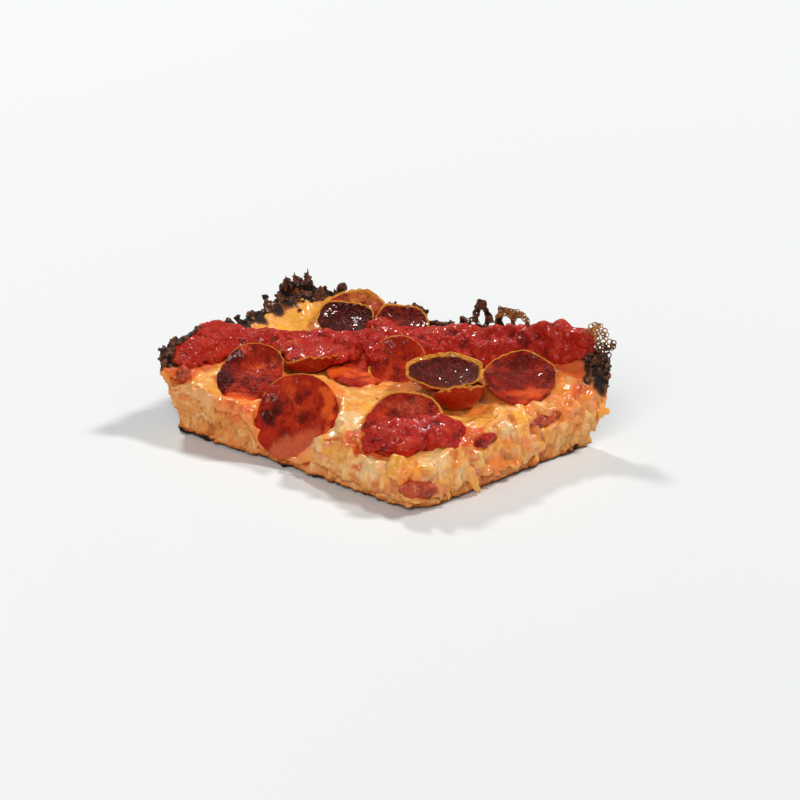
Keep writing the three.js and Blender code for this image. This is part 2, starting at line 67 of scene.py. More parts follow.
def addCamera():
    lens = bpy.data.cameras.new("camera")
    lens.lens = camera["lens"]
    lens.sensor_width = camera["sensor"]
    lens.clip_start = camera["nearest"] * mm
    view = bpy.data.objects.new("camera", lens)
    bpy.context.scene.collection.objects.link(view)
    view.location = Vector(camera["place"]) * mm
    towards = (Vector(camera["target"]) - Vector(camera["place"])).normalized()
    view.rotation_euler = towards.to_track_quat("-Z", "Y").to_euler()
    bpy.context.scene.camera = view
    bpy.context.scene.view_settings.view_transform = "Standard"
    bpy.context.scene.view_settings.look = "None"


addCamera()


# Small helpers for picking, finishing and measuring pieces
def pick(*pieces):
    bpy.ops.object.select_all(action="DESELECT")
    for piece in pieces:
        piece.select_set(True)
    bpy.context.view_layer.objects.active = pieces[0]


def finishWith(piece, kind, **settings):
    pick(piece)
    modifier = piece.modifiers.new(kind.title(), kind)
    for setting, value in settings.items():
        setattr(modifier, setting, value)
    bpy.ops.object.modifier_apply(modifier=modifier.name)


def joinAll(pieces, name):
    pick(*pieces)
    bpy.ops.object.join()
    pieces[0].name = name
    return pieces[0]


def settle(piece):
    pick(piece)
    bpy.ops.object.transform_apply(location=True, rotation=True, scale=True)
    return piece


def copyNode(node, name):
    piece = bpy.data.objects.new(name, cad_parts[node].data.copy())
    piece.data.materials.clear()
    bpy.context.scene.collection.objects.link(piece)
    pick(piece)
    bpy.ops.object.mode_set(mode="EDIT")
    bpy.ops.mesh.select_all(action="SELECT")
    bpy.ops.mesh.remove_doubles(threshold=0.002 * mm)
    bpy.ops.object.mode_set(mode="OBJECT")
    return piece


def places(piece):
    flat = np.empty(3 * len(piece.data.vertices), np.float32)
    piece.data.vertices.foreach_get("co", flat)
    return flat.reshape(-1, 3).astype(float) / mm


def facings(piece):
    flat = np.empty(3 * len(piece.data.vertices), np.float32)
    piece.data.vertices.foreach_get("normal", flat)
    return flat.reshape(-1, 3).astype(float)


def surface(piece):
    return places(piece), facings(piece)


def moveTo(piece, spots):
    piece.data.vertices.foreach_set("co", (spots * mm).astype(np.float32).ravel())
    piece.data.update()


def paint(piece, name, shares):
    layer = piece.data.attributes.new(name, "FLOAT", "POINT")
    layer.data.foreach_set("value", np.clip(shares, 0, 1).astype(np.float32))


# Vertex group from shares between 0 and 1, in twenty steps
def weigh(piece, name, shares):
    group = piece.vertex_groups.new(name=name)
    steps = np.round(np.clip(shares, 0, 1) * 20).astype(int)
    for step in range(1, 21):
        group.add(np.flatnonzero(steps == step).tolist(), step / 20, "REPLACE")


def ease(value, start, end):
    share = np.clip((value - start) / (end - start), 0, 1)
    return share * share * (3 - 2 * share)


# Soft lumps between -1 and 1 through space
def lumps(spots, size, phase):
    p, q, r = (spots / size).T
    return (
        0.42 * np.sin(2.1 * p + 1.3 * np.sin(1.7 * q + phase) + phase)
        + 0.34 * np.sin(2.9 * q + 1.1 * np.sin(2.3 * r - phase) + 2 * phase)
        + 0.24 * np.sin(3.7 * r + 3.1 * p + 1.2 * np.sin(2.9 * q) + 3 * phase)
    )


# Nearness to marks of (x, y, z, radius, amount), which run into each other and have ragged borders
def near(spots, marks, ragged=0):
    if ragged:
        spots = spots + ragged * np.stack([lumps(spots, 2.6, phase) for phase in (0.3, 1.7, 2.9)], axis=1)
    free = np.ones(len(spots))
    for x, y, z, radius, *amount in marks:
        away = np.linalg.norm(spots - np.array([x, y, z]), axis=1) / radius
        free *= 1 - (amount[0] if amount else 1) * ease(away, 1.9, 0.2)
    return 1 - free


# Raises and sinks a surface by a noise. size is the noise's grain, stretch pulls it along an axis.
def roughen(piece, size, strength, group="", kind="CLOUDS", stretch=(1, 1, 1), turn=(0, 0, 0), **looks):
    texture = bpy.data.textures.new("grain", kind)
    texture.noise_scale = 1
    for look, value in looks.items():
        setattr(texture, look, value)
    ruler = bpy.data.objects.new("ruler", None)
    bpy.context.scene.collection.objects.link(ruler)
    ruler.scale = [size * mm * share for share in stretch]
    ruler.rotation_euler = [math.radians(angle) for angle in turn]
    bpy.context.view_layer.update()
    finishWith(
        piece, "DISPLACE", texture=texture, texture_coords="OBJECT", texture_coords_object=ruler,
        strength=strength * mm, mid_level=0.5, vertex_group=group,
    )
    bpy.data.objects.remove(ruler)
    bpy.data.textures.remove(texture)


# Marks the hollows the relief sank and the ridges it raised since the spots were taken, for painted shade
# and painted highlights
def paintReliefLightAndShade(piece, spots, normals, full):
    rise = ((places(piece) - spots) * normals).sum(axis=1)
    paint(piece, "deep", ease(-rise, 0.03, full))
    paint(piece, "high", ease(rise, 0.03, full))


# Drops loose bits and closed bubbles of fewer than least vertices
def dropLoose(piece, least=150):
    shape = bmesh.new()
    shape.from_mesh(piece.data)
    unseen = set(shape.verts)
    loose = []
    while unseen:
        part = [unseen.pop()]
        for vertex in part:
            for edge in vertex.link_edges:
                other = edge.other_vert(vertex)
                if other in unseen:
                    unseen.remove(other)
                    part.append(other)
        if len(part) < least:
            loose += part
    bmesh.ops.delete(shape, geom=loose, context="VERTS")
    shape.to_mesh(piece.data)
    shape.free()


def voxelMesh(piece, size, smooth=0):
    finishWith(piece, "REMESH", mode="VOXEL", voxel_size=size * mm, adaptivity=0, use_smooth_shade=True)
    dropLoose(piece)
    if smooth:
        finishWith(piece, "SMOOTH", factor=0.5, iterations=smooth)


def addBlob(x, y, z, wide, deep, tall):
    bpy.ops.mesh.primitive_ico_sphere_add(subdivisions=3, radius=mm, location=(x * mm, y * mm, z * mm))
    blob = bpy.context.active_object
    blob.scale = (wide, deep, tall)
    return settle(blob)


# A strand of melted cheese along a route of (x, y, z, radius)
def addStrand(route):
    line = bpy.data.curves.new("strand", "CURVE")
    line.dimensions = "3D"
    line.bevel_depth = mm
    line.bevel_resolution = 3
    line.resolution_u = 6
    line.use_fill_caps = True
    spline = line.splines.new("NURBS")
    spline.points.add(len(route) - 1)
    for point, (x, y, z, radius) in zip(spline.points, route):
        point.co = (x * mm, y * mm, z * mm, 1)
        point.radius = radius
    spline.order_u = 3
    spline.use_endpoint_u = True
    strand = bpy.data.objects.new("strand", line)
    bpy.context.scene.collection.objects.link(strand)
    pick(strand)
    bpy.ops.object.convert(target="MESH")
    return bpy.context.active_object


# The slice's foot, and how its front bows out and its right side leans out along the two cuts
panSide = {
    "left": -51.2,
    "back": 34.6,
    "front": -41.4,
    "right": 53.6,
    "flare": 6.8,
    "corner": 17,
    "wallLeft": -44,  # the baked walls begin beyond these
    "wallBack": 27,
    "frontBow": 4.4,
    "rightLean": 8.8,
}


def frontEdge(x):
    share = np.clip((x - panSide["left"]) / (panSide["right"] - panSide["left"]), 0, 1)
    return panSide["front"] - panSide["frontBow"] * share**1.6


def rightEdge(y):
    share = np.clip((y - panSide["front"]) / (panSide["back"] - panSide["front"]), 0, 1)
    return panSide["right"] + panSide["rightLean"] * share


# Distance in from the pan's side at rim height
def fromPan(spots):
    across = np.clip((spots[:, 0] - panSide["left"]) / (panSide["right"] - panSide["left"]), 0, 1)
    along = np.clip((spots[:, 1] - panSide["front"]) / (panSide["back"] - panSide["front"]), 0, 1)
    left = spots[:, 0] - (panSide["left"] - 2.4 * along - panSide["flare"])
    back = panSide["back"] - 0.6 * across + panSide["flare"] - spots[:, 1]
    corner = panSide["corner"]
    bend = corner - np.hypot(np.maximum(0, corner - left), np.maximum(0, corner - back))
    return np.where((left < corner) & (back < corner), bend, np.minimum(left, back))


# Share by which a spot lies on a wall that baked against the pan rather than on a cut side
def onWall(spots, normals):
    x, y = spots[:, 0], spots[:, 1]
    outward = np.maximum(-normals[:, 0], normals[:, 1])
    beyond = np.maximum(panSide["wallLeft"] - x, y - panSide["wallBack"])
    uncut = ease(rightEdge(y) - x, -0.5, 2) * ease(y - frontEdge(x), -0.5, 2)
    return ease(outward, 0.25, 0.7) * ease(beyond, 0, 5) * uncut


def onCut(spots, normals):
    front = ease(-normals[:, 1], 0.2, 0.6) * ease(spots[:, 1], -30, -38)
    right = ease(normals[:, 0], 0.2, 0.6) * ease(spots[:, 0], 46, 52)
    return np.maximum(front, right)


# Pepperoni: at is the middle of the base. tilt leans the slice towards facing, where 0 is -Y and 90 is +X.
# back and front are how far the rim curls up on the high and the low side, and ruffle is its waviness.
# rim is how golden and thick the edge baked, and brown is how dark the inside is: partly baked char, partly
# painted shade in deep cups and on walls in shadow. dark, glow (orange), blush (pink tone, and on the front
# slices a painted sheen), gold and bare (no golden edge) are marks of (x, y, z, radius, amount).
pepperoni = {
    "left": {
        "at": (-28.7, -28.7, 21), "radius": 11.8, "back": 4.4, "front": -1, "tilt": 24, "facing": 12,
        "ruffle": 0.4, "rim": 0.3, "charAndShade": 0.35,
        "dark": [(-37.5, -27.6, 25.7, 3.2), (-35.3, -35.1, 19.8, 3.2), (-35, -37.8, 17.7, 2.6, 0.8),
                 (-28, -33.6, 19.4, 2.6, 0.7), (-38, -32, 22, 3, 0.7), (-24, -30, 21.6, 2.4, 0.5)],
        "glow": [(-28.3, -26.6, 23.4, 3, 0.5), (-30.8, -30.5, 21.3, 2.4, 0.35), (-28, -40, 15.6, 3, 0.9),
                 (-22.4, -36.9, 16.7, 2.6, 0.7), (-24.6, -38.8, 15.6, 2.6, 0.8)],
        "pinkAndSheen": [(-23.5, -23.8, 25.1, 3, 0.5), (-30.9, -22.1, 27.4, 2.4, 0.4)],
    },
    "front_left": {
        "at": (-4.7, -33.8, 14), "radius": 14.9, "back": 3.4, "front": 0, "tilt": 48, "facing": 14,
        "ruffle": 0.3, "rim": 0.25, "charAndShade": 0.1,
        "dark": [(-13.5, -38.9, 12.7, 3), (-12.9, -36.3, 15.4, 2.6, 0.8), (-4.2, -34.1, 14.6, 3, 0.6),
                 (-5.1, -38.9, 9.7, 3, 0.6), (-14.2, -34.3, 19.1, 2, 0.6), (1.6, -33, 15.4, 2.4, 0.5)],
        "glow": [(-10.4, -30.4, 22.4, 2.8, 0.5), (-5.6, -28.6, 22.6, 2.4, 0.45), (0.6, -27.6, 23.4, 2, 0.6),
                 (3.8, -28.8, 20.6, 2.3, 0.9), (5.4, -31.2, 16.4, 2.3, 0.9), (7, -33.6, 12.4, 2.2, 0.8),
                 (6.8, -37, 9.4, 1.8, 0.5), (-5, -33.6, 17, 2, 0.5), (-1.6, -37, 11, 2, 0.4),
                 (1.4, -30.6, 18.6, 2.6, 0.45), (-8.4, -33, 18.6, 2.2, 0.4)],
        "bare": [(9.8, -30.2, 14, 7), (6, -29, 20, 4, 0.6)],
        # The pink marks give a pink tone low down and a painted sheen in the middle
        "pinkAndSheen": [(-0.8, -40.7, 6.7, 4.6, 0.9), (-5.9, -42.9, 5.6, 3.4, 0.8), (2.2, -34.3, 13, 3, 0.4),
                  (0.8, -42.5, 4.1, 4, 0.9), (2.4, -37.6, 9.2, 4, 0.7)],
    },
    "front": {
        "at": (35.1, -28.9, 19.2), "radius": 13.7, "back": 4, "front": -0.6, "tilt": 20, "facing": 28,
        "ruffle": 0.4, "rim": 0.6, "charAndShade": 0.3,
        "dark": [(30.6, -27.7, 21.7, 4, 0.6), (36, -24, 22, 3, 0.4)],
        # The pink marks paint a sheen on the upper part
        "pinkAndSheen": [(34.4, -22, 23.6, 4, 0.6), (24.6, -27.6, 24.6, 3, 0.5), (29, -25, 23.4, 3, 0.5)],
    },
    "cup_under": {
        "at": (34.8, -1.6, 17.8), "radius": 10.8, "back": 8, "front": 10, "tilt": 3, "facing": 30,
        "ruffle": 0.6, "rim": 1, "charAndShade": 0.5,
    },
    "cup": {
        "at": (25.7, 2.4, 22.2), "radius": 14.4, "back": 5, "front": 4.4, "tilt": 2, "facing": 36,
        "ruffle": 0.5, "rim": 1.2, "charAndShade": 0.85, "square": 0.06,
    },
    "right": {
        "at": (44.2, 18.8, 22), "radius": 12.5, "back": 4.4, "front": 0.4, "tilt": 13, "facing": 40,
        "ruffle": 0.5, "rim": 0.4, "charAndShade": 0.6,
        "glow": [(50.1, 13.2, 20.9, 3.4, 0.6), (53.5, 17.1, 21.7, 3.4, 0.6), (45.2, 10.3, 21.6, 3, 0.5)],
        "pinkAndSheen": [(34.5, 14.9, 25.3, 2.4, 0.6), (54.4, 23, 23.6, 2, 0.4)],
        "bare": [(49.5, 11.6, 20.6, 5), (43.6, 10.6, 20.8, 3.6, 0.8), (54.4, 15.4, 21, 3.8)],
    },
    "centre": {
        "at": (1.2, 9.8, 20.8), "radius": 9.6, "back": 2.4, "front": 0, "tilt": 42, "facing": 24,
        "ruffle": 0.4, "rim": 0.45, "charAndShade": 0.35,
        "glow": [(0.1, 9.3, 21.8, 4, 0.3), (1, 4, 18.6, 3.4, 0.4)], "dark": [(-3.3, 10.6, 25.2, 4, 0.5)],
        "bare": [(-7.6, 6, 20.6, 5), (-6, 3, 18, 4), (-7, 10, 23, 3)],
    },
    "flat": {
        "at": (-5.8, -1.4, 19.6), "radius": 11.4, "back": 0.6, "front": 0, "tilt": 4, "facing": 40,
        "ruffle": 0.4, "rim": 0.1, "charAndShade": 0,
        "glow": [(-6.2, -5.1, 20.2, 5, 0.5), (2.6, -3, 20, 5, 0.5), (-12, -8, 20, 4, 0.8)],
        "dark": [(-7.5, 0.4, 20.5, 3, 0.5), (-1, 2, 20.5, 3, 0.4)],
    },
    # This slice's outer wall lies in shadow, so it gets the strongest darkening: painted shade
    "middle": {
        "at": (-22, -8.6, 18.8), "radius": 11.4, "back": 5, "front": 7.2, "tilt": 0, "facing": 40,
        "ruffle": 0.8, "rim": 0.8, "charAndShade": 1.3,
    },
    "back": {
        "at": (-35, 25.8, 20.6), "radius": 10.7, "back": 5.8, "front": 1.4, "tilt": 2, "facing": 34,
        "ruffle": 0.6, "rim": 0.6, "charAndShade": 1.2, "square": 0.03,
    },
    "rim": {
        "at": (-37, 32.6, 22.6), "radius": 11.4, "back": 4, "front": 2, "tilt": 6, "facing": 20,
        "ruffle": 0.7, "rim": 1, "charAndShade": 0.3,
        "gold": [(-42.4, 38.3, 26, 5, 0.6), (-34, 41, 27, 5, 0.6)],
        "pinkAndSheen": [(-38, 40.6, 27, 3, 0.6), (-30, 36, 26, 3, 0.6)],
    },
    "back_right": {
        "at": (-15.4, 31.4, 22.4), "radius": 10.4, "back": 4.6, "front": 1.6, "tilt": 8, "facing": 36,
        "ruffle": 0.5, "rim": 0.7, "charAndShade": 0.75,
    },
}
sliceMesh = {"segments": 112, "rings": 44, "thick": 1.4, "folds": 0.5, "grain": 0.2}

# The slices that lie on top of others
liesUnder = {
    "left": ["front_left"],
    "cup_under": ["cup"],
    "right": ["cup", "cup_under"],
    "flat": ["centre", "cup", "middle"],
    "rim": ["back"],
    "back_right": ["back"],
}


def turnOf(cut):
    tilt = Matrix.Rotation(math.radians(cut["tilt"]), 3, "X")
    return np.array(Matrix.Rotation(math.radians(cut["facing"]), 3, "Z") @ tilt)


def curlOf(cut, x, y):
    share = np.hypot(x, y) / cut["radius"]
    angle = np.arctan2(y, x)
    phase = cut["at"][0]
    side = cut["front"] + (cut["back"] - cut["front"]) * (0.5 + 0.5 * np.sin(angle))
    curl = side * np.minimum(share, 1.03) ** 2.4 * (1 + 0.12 * np.sin(2 * angle + phase))
    wave = cut["ruffle"] * share**3 * np.sin(4 * angle + 2 * np.sin(angle + phase))
    crisp = 0.4 * cut["ruffle"] * share**9 * np.sin(13 * angle + 4 * np.sin(3 * angle + phase))
    return curl + wave + crisp, side, share, angle


# Presses a slice down where another one lies on top of it
def tuckUnder(spots, cut):
    turn = turnOf(cut)
    local = (spots - np.array(cut["at"])) @ turn
    curl, _, share, _ = curlOf(cut, local[:, 0], local[:, 1])
    below = curl - 0.5 * sliceMesh["thick"] - 0.25
    inside = ease(share, 1.12, 1.02)
    over = np.maximum(0, local[:, 2] - below) * inside
    local[:, 2] -= over * (1 + 0.02 * over)
    return local @ turn.T + np.array(cut["at"])


def makePepperoni(name, cut):
    bpy.ops.mesh.primitive_uv_sphere_add(
        segments=sliceMesh["segments"], ring_count=sliceMesh["rings"], radius=mm, location=(0, 0, 0)
    )
    piece = bpy.context.active_object
    piece.name = "baked_pepperoni_" + name
    ball = places(piece)
    share = np.hypot(ball[:, 0], ball[:, 1])
    half = 0.5 * sliceMesh["thick"] * (1 - 0.22 * share**4 + 0.6 * cut["rim"] * share**12)
    flat = np.sign(ball[:, 2]) * half * np.sqrt(np.clip(1 - share**9, 0, 1))
    x, y = ball[:, 0] * cut["radius"], ball[:, 1] * cut["radius"]
    curl, side, share, angle = curlOf(cut, x, y)
    pull = 1 - 0.02 * np.maximum(0, side) * share**4
    wobble = 1 + 0.03 * np.sin(3 * angle + cut["at"][0]) + 0.008 * np.sin(13 * angle) * share**6
    wobble -= cut.get("square", 0) * np.cos(4 * angle) * share**2
    local = np.stack([x * pull * wobble, y * pull, flat + curl], axis=1)
    spots = local @ turnOf(cut).T + np.array(cut["at"])
    for other in liesUnder.get(name, []):
        spots = tuckUnder(spots, pepperoni[other])
    moveTo(piece, spots)
    inner = ease(ball[:, 2], -0.02, 0.1) * ease(share, 0.99, 0.9)
    weigh(piece, "inner", inner)
    roughen(piece, 5, sliceMesh["folds"], "inner", noise_depth=1)
    roughen(piece, 1.2, sliceMesh["grain"] + 0.6 * cut["charAndShade"], "inner", noise_depth=2)
    above = ease(ball[:, 2], -0.05, 0.05)
    start = 0.98 - 0.14 * cut["rim"] * above
    crisp = ease((share - start) / (1 - start), 0, 0.7)
    crisp *= np.clip(0.25 + side / 5, 0, 1) * min(1, 0.35 + cut["rim"])
    paint(piece, "crisp", crisp * (1 - near(spots, cut.get("bare", []))))
    # Darkens the inside, less towards the edge: partly baked char, partly painted shade in the deep cups
    # and on walls in shadow
    shaded = cut["charAndShade"] * (1 - 0.3 * ease(share, 0.8, 1))
    glow = near(spots, cut.get("glow", []), 1.5)
    paint(piece, "glow", glow)
    paint(piece, "dark", np.maximum(near(spots, cut.get("dark", []), 1.5), shaded) * (1 - 0.6 * glow))
    for mark in ("pinkAndSheen", "gold"):
        paint(piece, mark, near(spots, cut.get(mark, []), 1.5))
    paint(piece, "under", ease(ball[:, 2], 0.02, -0.06))
    pick(piece)
    bpy.ops.object.shade_smooth()
    return piece


slices = {name: makePepperoni(name, cut) for name, cut in pepperoni.items()}
print("pepperoni made")


# Distance along the surface from the nearest slice's rim, for the orange oil round each slice
def pastSlices(spots):
    nearest = np.full(len(spots), 99.0)
    for cut in pepperoni.values():
        local = (spots - np.array(cut["at"])) @ turnOf(cut)
        flat = np.hypot(local[:, 0], local[:, 1]) - cut["radius"]
        nearest = np.minimum(nearest, np.hypot(np.maximum(0, flat), 0.5 * local[:, 2]))
    return nearest


# The stripe's and the dollop's middle lines, which the stains follow
stripeLine = [(-53, -38.8), (-54.6, -27), (-52.6, -15), (-43, -5), (-31, 3), (-19.5, 12), (-8, 23), (5, 31),
              (20, 35), (35, 37), (49, 38.4), (59, 38.8)]
dollopLine = [(27.6, -39.6), (32.8, -37.2), (40.4, -32.8), (47.6, -27), (52, -20.6)]


def fromLine(spots, line):
    nearest = np.full(len(spots), 99.0)
    for (ax, ay), (bx, by) in zip(line, line[1:]):
        run = np.array([bx - ax, by - ay])
        share = np.clip(((spots[:, :2] - (ax, ay)) @ run) / (run @ run), 0, 1)
        away = spots[:, :2] - (ax, ay) - share[:, None] * run
        nearest = np.minimum(nearest, np.linalg.norm(away, axis=1))
    return nearest


# Bread: open crumb on the cut sides, a crisp fried base
bread = {
    "voxel": 0.62,
    "smooth": 16,
    "bulge": 0.9,  # how far the soft crumb swells out of the cut
    "crumbs": 150,  # toasted crumbs along the foot of the cut sides
    "crisps": 46,  # and the darker, larger ones at the left end
    "specks": [(-38.6, -42, 11, 0.9), (-38.5, -42, 10, 0.8), (60.6, 23.6, 2.4, 1.2), (61.6, 26.4, 2, 1.2)],
    "pale": [(62.1, 28.7, 4, 5), (61.6, 21.6, 4.4, 4), (64.6, 33, 10, 4), (18, -44, 4, 4, 0.7),
             (-40, -42, 9, 6, 0.5)],
}


def makeBread():
    piece = copyNode("bread", "bread_crumb")
    draw = random.Random(11)
    parts = [piece]
    for i in range(bread["crumbs"]):
        size = draw.uniform(0.5, 1.5)
        if i % 5 < 3:
            x = draw.uniform(-47, 50)
            spot = (x, frontEdge(x) + draw.uniform(0, 0.9))
        else:
            y = draw.uniform(-38, 34)
            spot = (rightEdge(y) - draw.uniform(0, 0.9), y)
        high = draw.uniform(0.6, 3.4)
        deep, tall = size * draw.uniform(0.7, 1.2), size * draw.uniform(0.5, 0.9)
        parts.append(addBlob(*spot, high, size, deep, tall))
    for _ in range(bread["crisps"]):
        x = draw.uniform(-50, -18)
        size = draw.uniform(0.8, 1.7)
        spot = (x, frontEdge(x) - draw.uniform(0, 0.7), draw.uniform(0.7, 2.2))
        parts.append(addBlob(*spot, size, size, 0.8))
    piece = joinAll(parts, "bread_crumb")
    voxelMesh(piece, bread["voxel"])
    spots, normals = surface(piece)
    cut = onCut(spots, normals)
    base = ease(spots[:, 2], 1.6, 0.2)
    weigh(piece, "cut", cut * (1 - base))
    weigh(piece, "skirt", ease(spots[:, 2], 3, 0.6) * (1 - ease(-normals[:, 2], 0.6, 0.9)))
    weigh(piece, "soft", 0.3 + 0.7 * ease(spots[:, 2], 2, 5))
    finishWith(piece, "SMOOTH", factor=0.6, iterations=bread["smooth"], vertex_group="soft")
    spots, normals = surface(piece)
    cut = onCut(spots, normals)
    spots = spots + normals * (bread["bulge"] * cut * ease(spots[:, 2], 4, 11))[:, None]
    moveTo(piece, spots)
    tearCrumb(piece, "cut")
    paintReliefLightAndShade(piece, spots, normals, 0.8)
    roughen(piece, 0.7, 0.5, "cut", noise_depth=1)
    roughen(piece, 1.2, 1.2, "skirt", noise_depth=3)
    flattenFoot(piece)
    spots, normals = surface(piece)
    leftEnd = ease(spots[:, 0], -26, -42)
    foot = ease(spots[:, 2], 2.4 + leftEnd, 0.6) * (0.74 + 0.35 * lumps(spots, 4, 1.3) + 0.4 * leftEnd)
    specks = near(spots, bread["specks"])
    paint(piece, "char", np.maximum(np.maximum(foot, specks), onWall(spots, normals)))
    paint(piece, "base", ease(-normals[:, 2], 0.4, 0.8) * ease(spots[:, 2], 3, 1))
    paint(piece, "oil", greaseOn(spots))
    paint(piece, "pale", near(spots, bread["pale"], 1.5))
    return piece


# Torn crumb, the same through both pieces so that bread and baked-in cheese run into each other
def tearCrumb(piece, group):
    roughen(piece, 5, 1.8, group, noise_depth=1, stretch=(1, 1, 1.4))
    roughen(piece, 2.2, 2.2, group, noise_depth=2, stretch=(1, 1, 2.2), turn=(8, 6, 0))
    roughen(piece, 1.5, 0.5, group, kind="VORONOI", noise_intensity=1.1)
    roughen(piece, 1.1, 1.3, group, noise_depth=2, stretch=(1, 1, 1.8), turn=(-12, -6, 0))


# Nothing of the slice goes through the surface it lies on
def flattenFoot(piece):
    spots = places(piece)
    spots[:, 2] = np.maximum(spots[:, 2], 0.02)
    moveTo(piece, spots)


# Where orange oil soaked the crumb and the cheese: (x, y, z, radius, amount)
oilMarks = [
    (-27.9, -43.3, 16, 5), (-21.6, -43.1, 16.5, 6), (-19.2, -41, 14, 5), (-49, -40, 18, 5),
    (58.4, 21.7, 18.6, 5, 0.8), (59.9, 33.2, 20.5, 7), (56.6, 9, 18.3, 3), (60.6, 2.3, 11.5, 3),
    (59.4, -8.7, 7.2, 5, 0.9), (59, -13.2, 5.9, 4, 0.9), (57.4, -20.1, 14.6, 3, 0.7),
    (48, -46.5, 11, 5, 0.8), (5, -44.9, 3.7, 8, 0.7), (-6, -44, 3, 8, 0.7), (60.6, 8, 3, 5, 0.8),
    (63, 20, 10, 4, 0.5), (62.3, 21.9, 16, 4, 0.7), (4.6, -6.6, 19, 4), (10.3, -3.3, 19.4, 4),
    (9.8, -20.5, 19.4, 4, 0.5), (-29.8, -42.6, 16.6, 4), (-21.2, -42.1, 16.4, 4), (56, 30, 22, 7),
    (62, 31, 20, 6, 0.8), (64, 35, 14, 4, 0.6),
]


def greaseOn(spots):
    streaks = 0.5 + 0.5 * lumps(spots * np.array([1, 1, 0.35]), 5, 0.8)
    ring = ease(pastSlices(spots), 4.2, 0.6)
    return np.maximum(near(spots, oilMarks, 1.5) * (0.55 + 0.6 * streaks), ring * (0.4 + 0.7 * streaks))


# Melted cheese that ran over the cut sides, as routes of (x, y, z, radius)
strands = [
    [(52.6, -22, 17.8, 1.4), (54.8, -17, 17.8, 2.2), (55.6, -11, 17.9, 2.6),
     (55.8, -5, 18.4, 2.3), (54.6, 0, 19, 1.6)],
    [(53, -3.4, 19, 2.2), (57.6, -5, 17, 2.2), (59.2, -6.6, 13, 1.8), (59.5, -8, 9, 1)],
    [(51.6, 7.6, 19.4, 1.3), (55.2, 5.1, 19, 1.6), (58.8, 1.8, 16.6, 1.5),
     (60.2, 1.8, 12.4, 1.4), (60.5, 2.6, 8.6, 1)],
    [(56.6, 9, 18.4, 1.2), (59.6, 7.8, 15.2, 0.9), (60.6, 7, 11, 0.8), (60.4, 6.4, 7, 0.6)],
    [(53.6, 12, 19.2, 2), (57.4, 13, 18.3, 2.4), (60.6, 12.4, 16.8, 1.3)],
    [(55.6, 20, 19, 2), (59, 21.4, 18.3, 2.3), (61.8, 20.6, 15.4, 1.8), (62.8, 20, 11.6, 1)],
    [(59.5, 23.8, 18.4, 1.2), (62.8, 22.4, 13, 1), (62.6, 22, 6.8, 0.7)],
    [(60.2, 28.4, 19, 1.4), (64, 27.4, 15, 1.1), (64.2, 26.4, 9.6, 0.7)],
    [(57.4, -25.2, 10, 1.4), (58.2, -23.6, 5, 1.2), (58.4, -21.8, 2.4, 1.3), (58.6, -20.4, 1, 1)],
    [(56.2, -33.2, 14, 0.8), (57.2, -32.1, 7.6, 0.6), (57.2, -29.6, 4, 0.5), (57.4, -26.8, 2, 0.5)],
    [(56, -35, 12.6, 0.6), (57, -34.7, 6, 0.5), (56.8, -34, 1.8, 0.6)],
    [(54.8, -37.4, 13, 0.9), (56.2, -36.8, 8, 0.7), (56, -36.6, 2.6, 0.6)],
    [(41.8, -46.4, 9.8, 0.5), (44.6, -47, 11.6, 1.7), (47.8, -47, 13.2, 2.4), (50.6, -45, 13.6, 1.6)],
    [(45.4, -46.8, 11, 1.2), (46.4, -46.9, 9.4, 1.5), (48.6, -46.6, 10.2, 1)],
    [(7, -40.4, 9.6, 1.2), (10, -42.4, 11.4, 2.2), (14, -43.8, 12.8, 2.8),
     (18, -43, 14, 2.6), (21, -41, 15.2, 1.8)],
    [(6.5, -24, 19, 1.6), (11, -30, 17.6, 2.2), (16, -35, 17.2, 2.6),
     (20.6, -39.6, 16, 2.2), (23.6, -43.6, 13.6, 1.4)],
    [(26, -43.8, 16, 1.8), (26.4, -45.4, 10, 1.3), (27, -45, 5, 0.8)],
    [(31, -44.6, 14, 1.6), (31.6, -45.8, 8, 1.1), (32, -45.4, 3.4, 0.8)],
    [(36, -45.2, 13, 1.6), (37, -46.2, 7.6, 1.2), (37.4, -45.8, 3, 0.8)],
    [(57, -14, 12, 1.4), (58.6, -13.4, 8, 1.5), (58.8, -12.6, 4, 1.2)],
    [(-14.5, -42.6, 10, 1), (-15, -42.8, 6, 0.9), (-15.4, -42.6, 3, 0.6)],
    [(-35, -42.6, 15, 1.1), (-35.4, -42.8, 11, 0.9), (-35.8, -42.6, 7, 0.5)],
]

# Lumps of it as (x, y, z, wide, deep, tall)
lumpsOfCheese = [
    (60.2, -4.4, 5.4, 1.6, 2.2, 1.6), (59.4, -9, 6.6, 1.5, 2.2, 1.8), (58.8, -16.5, 7, 1.4, 2, 1.8),
    (60, 1.6, 4.6, 1.3, 2, 1.5), (60.4, 6.6, 3.4, 1.2, 2, 1.3), (57.8, -21, 13.6, 1.2, 2.2, 1.4),
    (56.6, -23.4, 17, 1.4, 2.4, 1.2), (50.6, -10, 18.2, 4.6, 5.6, 1.7), (49.6, 1.5, 18.6, 3.6, 4, 1.4),
    (13.4, -27, 18.2, 4, 5, 1.6), (25, -38, 16.6, 3.4, 3.4, 2), (38.6, -45.4, 12, 3, 1.6, 2.4),
    (54.4, -41.2, 13.6, 2.6, 2.4, 2.6),
]

